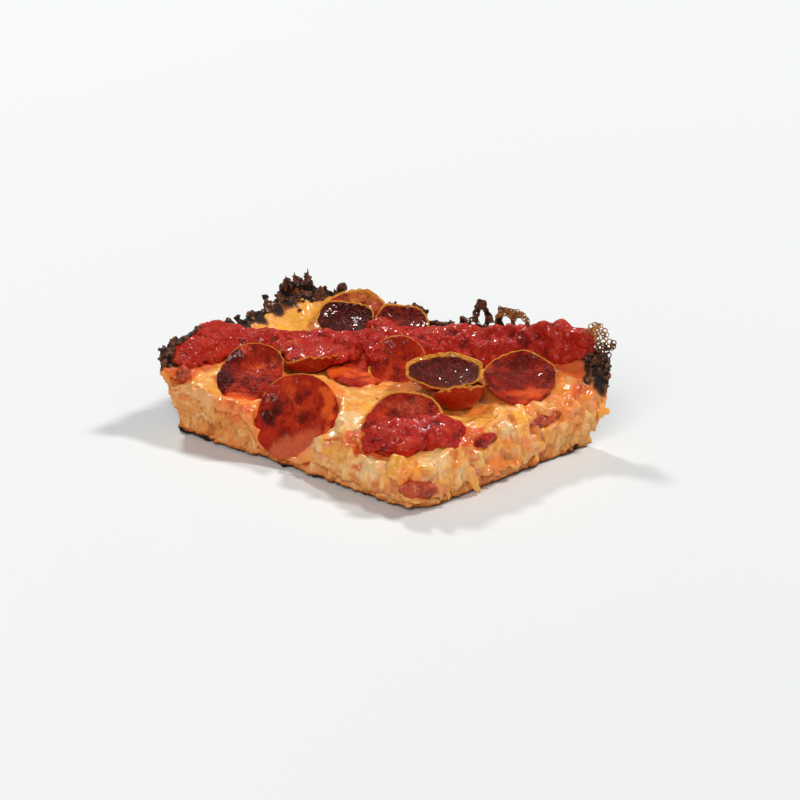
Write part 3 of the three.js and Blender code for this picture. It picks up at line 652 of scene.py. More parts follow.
# Lace: webs of burnt cheese bubbles that stand on the back rim. Outline and holes are in the web's plane,
# gap is the least room between the middles of two bubbles, and glow is how amber the upper part is.
laces = {
    "left": {
        "at": (11.5, 41.4, 24.6), "turn": 8, "rings": 170, "gap": 0.6, "glow": 0.4,
        "outline": [(-5, 0), (-5.4, 4), (-3.2, 4.4), (-2.4, 8.2), (-1.3, 11.4), (1, 11.4), (1.9, 7.6),
                    (3.2, 7), (4.6, 3), (5, 0)],
        "holes": [(-0.2, 5.4, 1.5, 2.8), (-3.6, 2.6, 0.9, 1.1), (3.2, 3.6, 1, 1.2)],
    },
    "middle": {
        "at": (24.6, 41.5, 26), "turn": 6, "rings": 190, "gap": 0.66, "glow": 0.85,
        "outline": [(-6, 0), (-6.6, 4.6), (-5.6, 9.6), (-2, 9), (1.6, 9.7), (5, 8.2), (6.6, 3.2), (6, 0)],
        "holes": [(-2.9, 5, 1.8, 2.3), (2.4, 5, 2.1, 2.3)],
    },
    "corner": {
        "at": (59.8, 40.6, 27.2), "turn": 34, "rings": 130, "gap": 0.95, "glow": 0.9,
        "outline": [(-4.6, -3), (-5.4, 5), (-4.2, 9.8), (-2.2, 12.2), (0.6, 11.8), (2.6, 8.4), (3.2, 6.8),
                    (4.8, 6.6), (5, 4.2), (3.4, 3), (3.4, -3)],
        "holes": [(-2.6, 8.6, 0.7, 0.8), (-2.4, 5, 0.8, 1), (0.4, 7.2, 0.7, 1), (0.6, 3.6, 0.6, 0.7)],
    },
}
laceMesh = {"voxel": 0.17, "smooth": 2, "thread": 0.27, "roomRoundHoles": 1.25}


# Cuts the plain webs off the rim, where the laces take their place
def cutWebs(piece):
    for lace in laces.values():
        (lowX, highX), (_, highY) = [(min(line), max(line)) for line in zip(*lace["outline"])]
        angle = math.radians(lace["turn"])
        away = Vector((0.5 * (lowX + highX), 0, 0.5 * highY + 1))
        middle = Vector(lace["at"]) + Matrix.Rotation(angle, 3, "Z") @ away
        bpy.ops.mesh.primitive_cube_add(size=mm, location=middle * mm, rotation=(0, 0, angle))
        box = bpy.context.active_object
        box.scale = (highX - lowX + 0.6, 2.6, highY + 0.8)
        settle(box)
        finishWith(piece, "BOOLEAN", operation="DIFFERENCE", solver="EXACT", object=box)
        bpy.data.objects.remove(box)


# Cheese: a blistered blanket that climbs the pan sides and hangs in folds over the cut sides
cheese = {
    "voxel": 0.68,
    "smooth": 5,
    "folds": 2.5,
    "blisters": 0.8,
    "burnt": 6.6,  # how far in from the pan's side it is burnt
    "toasted": 11.4,  # and toasted
}


def makeCheese():
    parts = [copyNode("cheese", "melted_cheese")]
    cutWebs(parts[0])
    parts += [addStrand(route) for route in strands]
    parts += [addBlob(*lump) for lump in lumpsOfCheese]
    piece = joinAll(parts, "melted_cheese")
    voxelMesh(piece, cheese["voxel"])
    spots, normals = surface(piece)
    wall = onWall(spots, normals)
    rim = np.maximum(ease(fromPan(spots), 4.5, 0.5) * ease(normals[:, 2], -0.3, 0.3), wall)
    cut = onCut(spots, normals) * (1 - rim)
    top = ease(normals[:, 2], 0.1, 0.6) * (1 - rim)
    weigh(piece, "soft", 1 - 0.8 * rim)
    weigh(piece, "rim", rim)
    likeCrumb = ease(spots[:, 0], 12, 0) * ease(spots[:, 2], 21, 18)  # baked into the bread on the left
    weigh(piece, "cut", cut * (1 - likeCrumb))
    weigh(piece, "bready", cut * likeCrumb)
    weigh(piece, "top", top)
    finishWith(piece, "SMOOTH", factor=0.5, iterations=cheese["smooth"], vertex_group="soft")
    spots, normals = surface(piece)
    roughen(piece, 6, 1.6, "top", noise_depth=1)
    roughen(piece, 2.4, cheese["blisters"], "top", noise_depth=1)
    roughen(piece, 5.5, 2.2, "cut", noise_depth=1)
    roughen(piece, 3, cheese["folds"], "cut", stretch=(1, 1, 3.2), turn=(24, 16, 0), noise_depth=1)
    roughen(piece, 1.8, 1.2, "cut", stretch=(1, 1, 3), turn=(-22, -14, 0), noise_depth=1)
    tearCrumb(piece, "bready")
    paintReliefLightAndShade(piece, spots, normals, 1)
    roughen(piece, 0.9, 0.35, "cut", noise_depth=1)
    roughen(piece, 1.8, 1.8, "rim", noise_depth=3, noise_type="HARD_NOISE")
    roughen(piece, 0.9, 0.8, "rim", noise_depth=2)
    flattenFoot(piece)
    return piece


def paintCheese(piece):
    spots, normals = surface(piece)
    pan = fromPan(spots)
    wall = onWall(spots, normals)
    cut = onCut(spots, normals)
    ragged = lumps(spots, 4.2, 0.6)
    burnt = ease(pan + 1.9 * ragged, cheese["burnt"], 1.6) * ease(spots[:, 2], 19, 22)
    marks = near(spots, burntMarks, 0.8)
    beyond = np.maximum(panSide["wallLeft"] - spots[:, 0], spots[:, 1] - panSide["wallBack"])
    foot = ease(beyond, 2, 4.5) * ease(spots[:, 2], 10, 7)
    foot *= (1 - cut) * ease(spots[:, 0], 54, 50) * ease(spots[:, 1], -38, -34)
    walls = wall * (0.8 + 0.25 * ragged)
    paint(piece, "char", np.max([burnt, marks, foot, walls], axis=0))
    paint(piece, "toast", ease(pan + 1.6 * ragged, cheese["toasted"], 4))
    paint(piece, "gold", near(spots, goldMarks, 1.2))
    paint(piece, "oil", greaseOn(spots))
    sauced = np.minimum(fromLine(spots, stripeLine), 1.5 + fromLine(spots, dollopLine))
    stained = ease(sauced + 1.2 * ragged, 9.6, 6.4) * ease(normals[:, 2], -0.2, 0.4)
    paint(piece, "red", np.maximum(stained, near(spots, redMarks, 1.2)) * (1 - wall))
    paint(piece, "pale", near(spots, paleMarks, 1.5))
    paint(piece, "torn", cut)
    paint(piece, "crumb", cut * ease(spots[:, 0], 14, -4) * ease(spots[:, 2] + ragged, 21, 16))


# Golden, red, pale and burnt marks on the cheese, as (x, y, z, radius, amount)
goldMarks = [
    (-57, 6, 25, 5, 0.6), (-50, 13, 22, 8, 0.8), (-51, 26, 22.6, 8, 0.8), (50, -46.3, 15.2, 4),
    (44.9, -46.6, 12, 4), (48, -47, 13, 3), (15.8, -23.3, 18.8, 3.4, 0.9), (46.4, 1, 18.8, 3, 0.7),
    (19, -27, 18.4, 2.6, 0.8), (45.1, -1.1, 18.1, 2, 0.8), (52, -9, 18.5, 4, 0.4), (55.9, 3, 18.5, 3),
    (58, 2, 14, 2.6), (16.3, -44.4, 11.5, 2, 0.7), (58.4, -21.8, 3, 3, 0.9), (67.4, 34, 11.6, 3),
    (-6, -14, 19, 3, 0.6), (59, -12, 9, 3, 0.6),
]
redMarks = [
    (58.3, -17.6, 18.6, 2, 0.9), (57.2, -19.9, 17, 2, 0.8), (55.1, -19.2, 17.7, 3, 0.8),
    (54.9, 33.4, 25.4, 3, 0.5), (54.7, 26.6, 21.3, 3, 0.4), (-22, -43.4, 14, 3, 0.6),
    (63.1, 27.7, 21.3, 3, 0.7), (60, 30, 22, 2.4, 0.6), (57, 31.4, 24.4, 2.2, 0.7),
    (60.4, 26.6, 20.6, 2.2, 0.7), (58.4, 34.4, 25, 2, 0.7), (49.5, 11, 19.4, 1.7), (53, 13.2, 18.8, 1.9),
    (45.4, 11.4, 19.4, 1.5, 0.8), (55.6, 17.2, 19.4, 1.5, 0.8), (62.6, 30.4, 20, 1.8, 0.6),
    (63.1, 23.5, 15.7, 2, 0.5), (41, -44.5, 0.6, 2), (-26.2, -43.3, 17, 2.4, 0.8),
    (-18.6, -42.6, 16.4, 2.6, 0.8), (-29.8, -42.6, 17, 1.6, 0.6), (-49, -42, 15, 3, 0.5),
    (58.4, -8, 14.6, 2, 0.6), (57.6, -24, 9, 2, 0.5), (59.6, -3, 10, 1.8, 0.4), (-47, -30, 20, 4, 0.4),
    (61.6, 9.8, 15.6, 2.6, 0.5),
]
paleMarks = [
    (1.6, -14.6, 19.4, 4, 0.5), (21.3, -34.4, 18.2, 3.4, 0.9), (15, -32.3, 18, 4.4),
    (16.3, -38.2, 16.4, 4.4), (12.4, -44.6, 12.7, 3), (6.7, -26, 19.8, 2.4, 0.4),
    (30.9, -45.7, 10.1, 4, 0.9), (37, -45.1, 12.6, 4, 0.9), (24.7, -45.8, 7.5, 3, 0.6), (53.3, -39, 13, 4),
    (54.5, -35.5, 15, 4), (57.6, -6.5, 17, 3), (56.1, 12.9, 18.7, 2.4), (56.9, 20.3, 19.3, 3.4),
    (50.2, 3.2, 19.5, 3, 0.7), (65.5, 33.8, 16.6, 3, 0.8), (58.6, 28.8, 23, 2.4, 0.8),
    (55.4, 28.6, 23.6, 2.4, 0.7), (62, 32.6, 21.6, 1.8, 0.6), (64.4, 29.4, 16, 2.6, 0.7),
    (-53.1, 20.2, 22.1, 3, 0.6), (-53, 26, 22.6, 3, 0.5), (57, -28, 8, 4, 0.7),
]
burntMarks = [
    (60, 36.8, 25, 2.2), (61.8, 38, 25, 2.4), (-52.8, 23.5, 22.4, 0.9, 0.8), (13, -16.5, 19.5, 0.7, 0.7),
    (-56, -40, 25, 2.4, 0.9), (65, 37, 23.5, 3.2), (65.6, 35, 20.4, 2.6), (61.5, 34.6, 25.1, 2.4),
    (62.3, 31.4, 24.2, 1.6, 0.9), (-57, -37, 27, 3), (-55.6, -41, 23.4, 2.4, 0.8),
]

cheesePiece = makeCheese()
print("cheese made")
paintCheese(cheesePiece)
breadPiece = makeBread()
print("bread made")

# Sauce: pulpy tomato, smoothed first and then given its pulp. Blobs are (x, y, z, wide, deep, tall).
sauce = {"voxel": 0.42, "smooth": 12, "pulp": 1.9, "bits": 1.5, "grain": 0.5, "seeds": 0.3}
sauceBlobs = {
    "stripe": [
        (-10.4, 21, 25.6, 5, 3.6, 2.2), (-16.6, 24.4, 25, 4, 3.4, 2), (-22.6, 25.6, 24.4, 3, 2.6, 1.8),
        (-19, 6.6, 24, 4.6, 3, 2.4), (-24.6, 1.6, 23, 3.4, 2.6, 2), (44.6, 38.4, 33.6, 5, 4.2, 2.6),
        (-12, 12, 22.6, 4, 3.6, 3), (-25.4, -8, 23, 6.6, 6, 2.6), (-18.6, -3.4, 23.6, 6.4, 6, 2.6),
        (-22, -12, 22.8, 6.4, 5, 2.2), (-15, -2.6, 22.8, 4.4, 4.4, 2.4), (-29, -4, 22.6, 5, 5, 3),
        (-31.4, -9.6, 22.6, 3.2, 3.2, 3), (-14.6, 2.6, 22, 4, 4, 2.4), (-19.6, 27, 25, 3.4, 2.8, 1.8),
        (-15, 24.8, 25.8, 3, 2.6, 1.8), (-8.8, 8.8, 23.6, 3.6, 3.4, 2.6), (-6.8, 6.4, 21.8, 2.4, 2.2, 1.8),
        (-8.6, 12.6, 25.4, 3, 3, 2), (46.4, 38.6, 34.8, 5, 3.4, 2.9), (51, 38.6, 34, 4.6, 3.4, 3),
        (55, 38.8, 33.6, 3.8, 3.2, 3.4),
    ],
    "dollop": [
        (31, -42.2, 14.6, 1.9, 1.6, 2.2), (30, -41, 16.4, 2, 1.8, 2.2), (36, -39.4, 16.8, 4, 2.6, 2),
        (38, -33, 21.4, 5, 4, 1.8), (49, -24.6, 20.4, 4, 4, 2), (42, -38, 16.8, 4.6, 3, 2),
        (47.6, -33.6, 17, 4, 3, 2), (52, -27, 17.4, 3.4, 3.4, 2),
    ],
    "scrap": [],
}


def makeSauce(part, blobs):
    name = "tomato_" + part
    piece = joinAll([copyNode("sauce_" + part, name)] + [addBlob(*blob) for blob in blobs], name)
    voxelMesh(piece, sauce["voxel"], smooth=sauce["smooth"])
    spots, normals = surface(piece)
    roughen(piece, 5.4, sauce["pulp"], noise_depth=1)
    roughen(piece, 2.8, sauce["bits"], noise_depth=1)
    paintReliefLightAndShade(piece, spots, normals, 0.9)
    roughen(piece, 1.3, sauce["grain"], noise_depth=1)
    roughen(piece, 0.7, sauce["seeds"], noise_depth=1)
    paint(piece, "cooked", 0.5 + 0.5 * lumps(places(piece), 6, 0.3))
    return piece


saucePieces = {part: makeSauce(part, blobs) for part, blobs in sauceBlobs.items()}
print("sauce made")


# Burnt crust: crumbs and points baked onto the rim. A run goes from one distance along the rim to another,
# counted from the rim's front end over the pan's corner to the right cut. Its crumbs stand up to tall high
# and within wide of the pan's side, and with over they also lie on the sauce.
crust = {
    "voxel": 0.28,
    "left": -58,
    "lean": -2.2,  # the rim's far end lies this much further out
    "front": -42.5,
    "back": 41.4,
    "corner": 21,
    "lowest": 17,  # below this the rim has broken off
    "runs": [
        {"from": 0, "to": 10, "count": 200, "tall": 0.9, "wide": 4.6},
        {"from": 8, "to": 19, "count": 130, "tall": 1.2, "wide": 2.8, "over": True},
        {"from": 19, "to": 42, "count": 170, "tall": 0.8, "wide": 2},
        {"from": 42, "to": 62, "count": 300, "tall": 1, "wide": 3.2},
        {"from": 62, "to": 82, "count": 420, "tall": 2, "wide": 3.8},
        {"from": 82, "to": 98, "count": 160, "tall": 1.2, "wide": 2.8},
        {"from": 98, "to": 116, "count": 260, "tall": 3.4, "wide": 2.4},
        {"from": 112, "to": 146, "count": 330, "tall": 1.1, "wide": 2.4},
        {"from": 146, "to": 176, "count": 160, "tall": 0.7, "wide": 1.8},
        {"from": 184, "to": 197, "count": 150, "tall": 0.5, "wide": 3},
    ],
    # crumbs down the cut side at the pan's corner, as (x, y, z, radius, count)
    "scatter": [(61, 39.4, 28, 1.9, 60), (59.4, 37, 28, 1.7, 50), (63.4, 38.6, 26.6, 2, 56),
                (65, 37, 23.8, 1.7, 34), (65.6, 35.4, 20.6, 1.2, 14), (61.4, 34.6, 24.7, 1.6, 26),
                (62.4, 31.6, 23.6, 1.2, 14), (-56.6, -39.6, 25, 2.2, 40), (-55, -42, 22.6, 1.4, 20)],
    "points": [(-58.6, 27, 5.2), (-56.6, 31.6, 6), (-59, 23, 3.2), (-52, 36.4, 3.2), (-56.6, -38, 2.6)],
    "crumbsOnPoint": 8,
    "amber": [(60, 40.5, 31, 2.6, 0.5), (-57, 33, 33, 3, 0.4)],
}


def rimSpot(distance, inset):
    straight = crust["back"] - crust["corner"] - crust["front"]
    bend = crust["corner"] * math.pi / 2
    farLeft = crust["left"] + crust["lean"]
    if distance < straight:
        return crust["left"] + crust["lean"] * distance / straight + inset, crust["front"] + distance
    if distance < straight + bend:
        angle = (distance - straight) / crust["corner"]
        radius = crust["corner"] - inset
        return (farLeft + crust["corner"] - radius * math.cos(angle),
                crust["back"] - crust["corner"] + radius * math.sin(angle))
    return farLeft + crust["corner"] + distance - straight - bend, crust["back"] - inset


def treeOf(piece):
    return BVHTree.FromObject(piece, bpy.context.evaluated_depsgraph_get())


def topAt(trees, x, y):
    falls = [tree.ray_cast(Vector((x, y, 80)) * mm, Vector((0, 0, -1)))[0] for tree in trees]
    return max([spot.z / mm for spot in falls if spot], default=0)


def addGrain():
    bpy.ops.mesh.primitive_ico_sphere_add(subdivisions=2, radius=mm)
    return bpy.context.active_object


def addPoint():
    bpy.ops.mesh.primitive_cone_add(vertices=6, radius1=0.7 * mm, radius2=0.1 * mm, depth=2.4 * mm)
    return bpy.context.active_object


def addRing():
    bpy.ops.mesh.primitive_torus_add(
        major_segments=14, minor_segments=6, major_radius=mm, minor_radius=laceMesh["thread"] * mm
    )
    return bpy.context.active_object


def placeCopy(shape, spot, scale, turn):
    copy = shape.copy()
    copy.data = shape.data.copy()
    copy.location = Vector(spot) * mm
    copy.scale = scale
    copy.rotation_euler = turn
    bpy.context.scene.collection.objects.link(copy)
    return copy


# Joins the copies into one piece and throws away the shapes they were copied from
def joinCopies(copies, name, *shapes):
    piece = settle(joinAll(copies, name))
    for shape in shapes:
        bpy.data.objects.remove(shape)
    return piece


def makeCrust():
    draw = random.Random(5)
    grain, point = addGrain(), addPoint()
    cheeseTree, sauceTree = treeOf(cheesePiece), treeOf(saucePieces["stripe"])
    copies = []
    for run in crust["runs"]:
        trees = [cheeseTree, sauceTree] if run.get("over") else [cheeseTree]
        for i in range(run["count"]):
            distance = run["from"] + (run["to"] - run["from"]) * (i + draw.random()) / run["count"]
            inset = draw.random() ** 1.5
            x, y = rimSpot(distance, 0.2 + inset * run["wide"])
            high = topAt(trees, x, y)
            if high < crust["lowest"]:
                continue
            size = draw.uniform(0.3, 0.85) * (1 - 0.3 * inset)
            lift = draw.random() ** 2.4 * run["tall"] * (1 - inset)
            turn = Euler([draw.uniform(0, 6.3) for _ in range(3)])
            shape = draw.choice([grain, grain, grain, point])
            scale = Vector([size * draw.uniform(0.5, 1.5) for _ in range(3)])
            copies.append(placeCopy(shape, (x, y, high - 0.1 + lift), scale, turn))
            for step in range(int(lift / 0.5)):
                spot = (x + draw.gauss(0, 0.3), y + draw.gauss(0, 0.3), high + 0.5 * step)
                copies.append(placeCopy(grain, spot, Vector([draw.uniform(0.4, 0.75)] * 3), turn))
    for x, y, z, radius, count in crust["scatter"]:
        for _ in range(count):
            away = Vector([draw.gauss(0, 0.5) for _ in range(3)]) * radius
            size = Vector([draw.uniform(0.35, 0.95) for _ in range(3)])
            copies.append(placeCopy(grain, Vector((x, y, z)) + away, size, Euler()))
    for x, y, tall in crust["points"]:
        high = max(24, topAt([cheeseTree], x, y))
        copies.append(placeCopy(point, (x, y, high + 0.4 * tall), Vector((1.3, 1.3, 0.46 * tall)), Euler()))
        for _ in range(crust["crumbsOnPoint"]):
            spot = (x + draw.uniform(-1, 1), y + draw.uniform(-1, 1), high + draw.random() * 0.6 * tall)
            copies.append(placeCopy(grain, spot, Vector([draw.uniform(0.3, 0.7)] * 3), Euler()))
    piece = joinCopies(copies, "burnt_crust", grain, point)
    voxelMesh(piece, crust["voxel"], smooth=1)
    roughen(piece, 0.8, 0.8, noise_depth=2)
    paint(piece, "amber", near(places(piece), crust["amber"]))
    return piece


crustPiece = makeCrust()
print("crust made")


def insideOutline(x, y, outline):
    inside = False
    for (ax, ay), (bx, by) in zip(outline, outline[1:] + outline[:1]):
        if (ay > y) != (by > y) and x < (bx - ax) * (y - ay) / (by - ay) + ax:
            inside = not inside
    return inside


def makeLace(name, lace):
    draw = random.Random(len(name) * 7)
    grain, ring = addGrain(), addRing()
    angle = math.radians(lace["turn"])
    turn = Matrix.Rotation(angle, 4, "Z")
    (lowX, highX), (lowY, highY) = [(min(line), max(line)) for line in zip(*lace["outline"])]
    copies, centres = [], []
    for _ in range(60 * lace["rings"]):
        x, y = draw.uniform(lowX, highX), draw.uniform(lowY, highY)
        if len(centres) == lace["rings"]:
            break
        if any(math.hypot(x - cx, y - cy) < lace["gap"] for cx, cy in centres):
            continue
        fromHoles = [math.hypot((x - hx) / wide, (y - hy) / tall) for hx, hy, wide, tall in lace["holes"]]
        if min(fromHoles) < laceMesh["roomRoundHoles"] or not insideOutline(x, y, lace["outline"]):
            continue
        centres.append((x, y))
        spot = turn @ Vector((x, draw.uniform(-0.4, 0.4), y)) + Vector(lace["at"])
        size = draw.uniform(0.62, 0.95)
        tilt = Euler((math.pi / 2 + draw.uniform(-0.4, 0.4), draw.uniform(-0.4, 0.4), angle))
        copies.append(placeCopy(ring, spot, Vector((size, size, 0.8)), tilt))
    low = [copy for copy in copies if copy.location.z / mm < lace["at"][2] + 1.6]
    for copy in low[::2]:
        copies.append(placeCopy(grain, copy.location / mm, Vector([draw.uniform(0.6, 1.1)] * 3), Euler()))
    piece = joinCopies(copies, "burnt_lace_" + name, grain, ring)
    voxelMesh(piece, laceMesh["voxel"], smooth=laceMesh["smooth"])
    spots = places(piece)
    height = (spots[:, 2] - lace["at"][2]) / highY
    paint(piece, "amber", lace["glow"] * ease(height + 0.25 * lumps(spots, 2.4, 0.4), 0.2, 0.75))
    return piece


lacePieces = [makeLace(name, lace) for name, lace in laces.items()]
print("lace made")

# Bits of pepperoni that the knife left in the cut sides, and how far each is pressed in
scraps = {
    "voxel": 0.36,
    "smooth": 6,
    "pressed": {"left": (1.1, 1.9, -0.3), "corner": (-0.6, 0.9, 0), "right": (-1.1, 0, 0)},
}


def makeScrap(side, pressed):
    piece = copyNode("pepperoni_scrap_" + side, "pepperoni_end_" + side)
    voxelMesh(piece, scraps["voxel"], smooth=scraps["smooth"])
    moveTo(piece, places(piece) + np.array(pressed))
    roughen(piece, 2.6, 1.2, noise_depth=1)
    roughen(piece, 1.1, 0.6, noise_depth=2)
    return piece


scrapPieces = {side: makeScrap(side, pressed) for side, pressed in scraps["pressed"].items()}
print("scraps made")


# Materials
def fill(tree, node, inputs):
    for key, value in inputs.items():
        if isinstance(value, bpy.types.NodeSocket):
            tree.links.new(value, node.inputs[key])
        else:
            node.inputs[key].default_value = value


def newNode(tree, kind, inputs=None, **settings):
    node = tree.nodes.new(kind)
    for setting, value in settings.items():
        setattr(node, setting, value)
    fill(tree, node, inputs or {})
    return node


def calculate(tree, operation, *values):
    return newNode(tree, "ShaderNodeMath", dict(enumerate(values)), operation=operation).outputs[0]


# A new node group, what it is given and the socket that its result goes to
def newGroup(name, inputs, output):
    tree = bpy.data.node_groups.new(name, "ShaderNodeTree")
    for label, value in inputs.items():
        kind = "NodeSocketVector" if value is None else "NodeSocketFloat"
        socket = tree.interface.new_socket(name=label, in_out="INPUT", socket_type=kind)
        if value is not None:
            socket.default_value = value
    tree.interface.new_socket(name=output, in_out="OUTPUT", socket_type="NodeSocketFloat")
    given = tree.nodes.new("NodeGroupInput").outputs
    return tree, given, tree.nodes.new("NodeGroupOutput").inputs[output]


# A mask whose edge is broken up by noise. scale is per metre.
plainPattern = {"scale": 200, "detail": 3, "spread": 1, "low": 0.4, "high": 0.6}


def makePatchGroup():
    inputs = {"Place": None, "Amount": 0.5}
    inputs.update({name.title(): value for name, value in plainPattern.items()})
    tree, given, out = newGroup("patches", inputs, "Mask")
    grain = {"Vector": given["Place"], "Scale": given["Scale"], "Detail": given["Detail"], "Roughness": 0.6}
    noise = newNode(tree, "ShaderNodeTexNoise", grain)
    centred = calculate(tree, "SUBTRACT", noise.outputs["Fac"], 0.5)
    value = calculate(tree, "MULTIPLY_ADD", centred, given["Spread"], given["Amount"])
    edge = {"Value": value, "From Min": given["Low"], "From Max": given["High"]}
    mask = newNode(tree, "ShaderNodeMapRange", edge, interpolation_type="SMOOTHSTEP")
    tree.links.new(mask.outputs["Result"], out)
    return tree


# A relief of coarse lumps, fine grain and round pits
def makeReliefGroup():
    inputs = {"Place": None, "Coarse": 400, "Fine": 1600, "Fine share": 0.4, "Pits": 700, "Pit share": 0.3}
    tree, given, out = newGroup("relief", inputs, "Height")
    coarse, fine = [
        newNode(tree, "ShaderNodeTexNoise", {"Vector": given["Place"], "Scale": given[size], "Detail": 2})
        for size in ("Coarse", "Fine")
    ]
    pits = newNode(tree, "ShaderNodeTexVoronoi", {"Vector": given["Place"], "Scale": given["Pits"]})
    grain = calculate(tree, "MULTIPLY_ADD", fine.outputs["Fac"], given["Fine share"], coarse.outputs["Fac"])
    height = calculate(tree, "MULTIPLY_ADD", pits.outputs["Distance"], given["Pit share"], grain)
    tree.links.new(height, out)
    return tree


patchGroup = makePatchGroup()
reliefGroup = makeReliefGroup()


class Finish:
    # One material in the making: colour, roughness and wet coat are built up in layers, then comes the bump
    def __init__(self, name, colour, rough, wet=0.0, stretch=(1, 1, 1), turn=(0, 0, 0)):
        self.material = bpy.data.materials.new(name)
        self.material.use_nodes = True
        self.tree = self.material.node_tree
        self.tree.nodes.clear()
        self.shader = self.tree.nodes.new("ShaderNodeBsdfPrincipled")
        newNode(self.tree, "ShaderNodeOutputMaterial", {"Surface": self.shader.outputs[0]})
        self.place = self.tree.nodes.new("ShaderNodeTexCoord").outputs["Object"]
        angles = [math.radians(angle) for angle in turn]
        mapped = {"Vector": self.place, "Scale": stretch, "Rotation": angles}
        self.along = newNode(self.tree, "ShaderNodeMapping", mapped).outputs[0]
        self.colour = (*colour, 1)
        self.rough = rough
        self.wet = wet

    def read(self, name):
        return newNode(self.tree, "ShaderNodeAttribute", attribute_name=name).outputs["Fac"]

    # A mask of ragged patches. shift moves the pattern and along gives it the finish's stretch and turn.
    def patch(self, amount=0.5, along=False, shift=0.0, **pattern):
        place = self.along if along else self.place
        if shift:
            moved = {0: place, 1: (shift, shift, shift)}
            place = newNode(self.tree, "ShaderNodeVectorMath", moved).outputs[0]
        inputs = {"Place": place, "Amount": amount}
        inputs.update({name.title(): value for name, value in {**plainPattern, **pattern}.items()})
        return newNode(self.tree, "ShaderNodeGroup", inputs, node_tree=patchGroup).outputs["Mask"]

    def times(self, first, second):
        return calculate(self.tree, "MULTIPLY", first, second)

    def layer(self, colour, mask, share=1.0):
        if share != 1.0:
            mask = self.times(mask, share)
        mix = newNode(self.tree, "ShaderNodeMix", data_type="RGBA")
        fill(self.tree, mix, {0: mask, 6: self.colour, 7: (*colour, 1)})
        self.colour = mix.outputs[2]

    # A colour in patches all over the piece, or only on a mask
    def patches(self, colour, share=1.0, on=None, **pattern):
        mask = self.patch(**pattern)
        self.layer(colour, mask if on is None else self.times(on, mask), share)

    # A colour round a mark, which is a mask or the name of a painted one
    def stain(self, mark, colour, share=1.0, **pattern):
        mask = self.read(mark) if isinstance(mark, str) else mark
        self.layer(colour, self.patch(mask, **pattern), share)

    def blend(self, before, after, mask):
        return newNode(self.tree, "ShaderNodeMix", {0: mask, 2: before, 3: after}).outputs[0]

    def roughness(self, value, mask):
        self.rough = self.blend(self.rough, value, mask)

    def wetness(self, value, mask):
        self.wet = self.blend(self.wet, value, mask)

    # The relief is twice as high where the mask given as stronger is 1
    def finish(self, relief, height, distance, specular, coatRoughness=0.03, soft=0, softTint=(1, 1, 1),
               stronger=None):
        grain = dict(zip(("Coarse", "Fine", "Fine share", "Pits", "Pit share"), relief))
        bumps = newNode(self.tree, "ShaderNodeGroup", {"Place": self.place, **grain}, node_tree=reliefGroup)
        tall = bumps.outputs["Height"]
        if stronger is not None:
            tall = self.times(tall, calculate(self.tree, "MULTIPLY_ADD", stronger, 1.0, 1.0))
        inputs = {"Height": tall, "Strength": height, "Distance": distance * mm}
        bump = newNode(self.tree, "ShaderNodeBump", inputs)
        looks = {"Base Color": self.colour, "Roughness": self.rough, "Normal": bump.outputs["Normal"],
                 "Specular IOR Level": specular, "Coat Weight": self.wet, "Coat Roughness": coatRoughness}
        if soft:
            looks.update({"Subsurface Weight": soft, "Subsurface Radius": softTint,
                          "Subsurface Scale": softDepth * mm})
        fill(self.tree, self.shader, looks)
        return self.material


# How deep light sinks into the food, and the two burnt colours
softDepth = 1.2
burntBlack = (0.010, 0.006, 0.005)
burntBrown = (0.085, 0.028, 0.012)


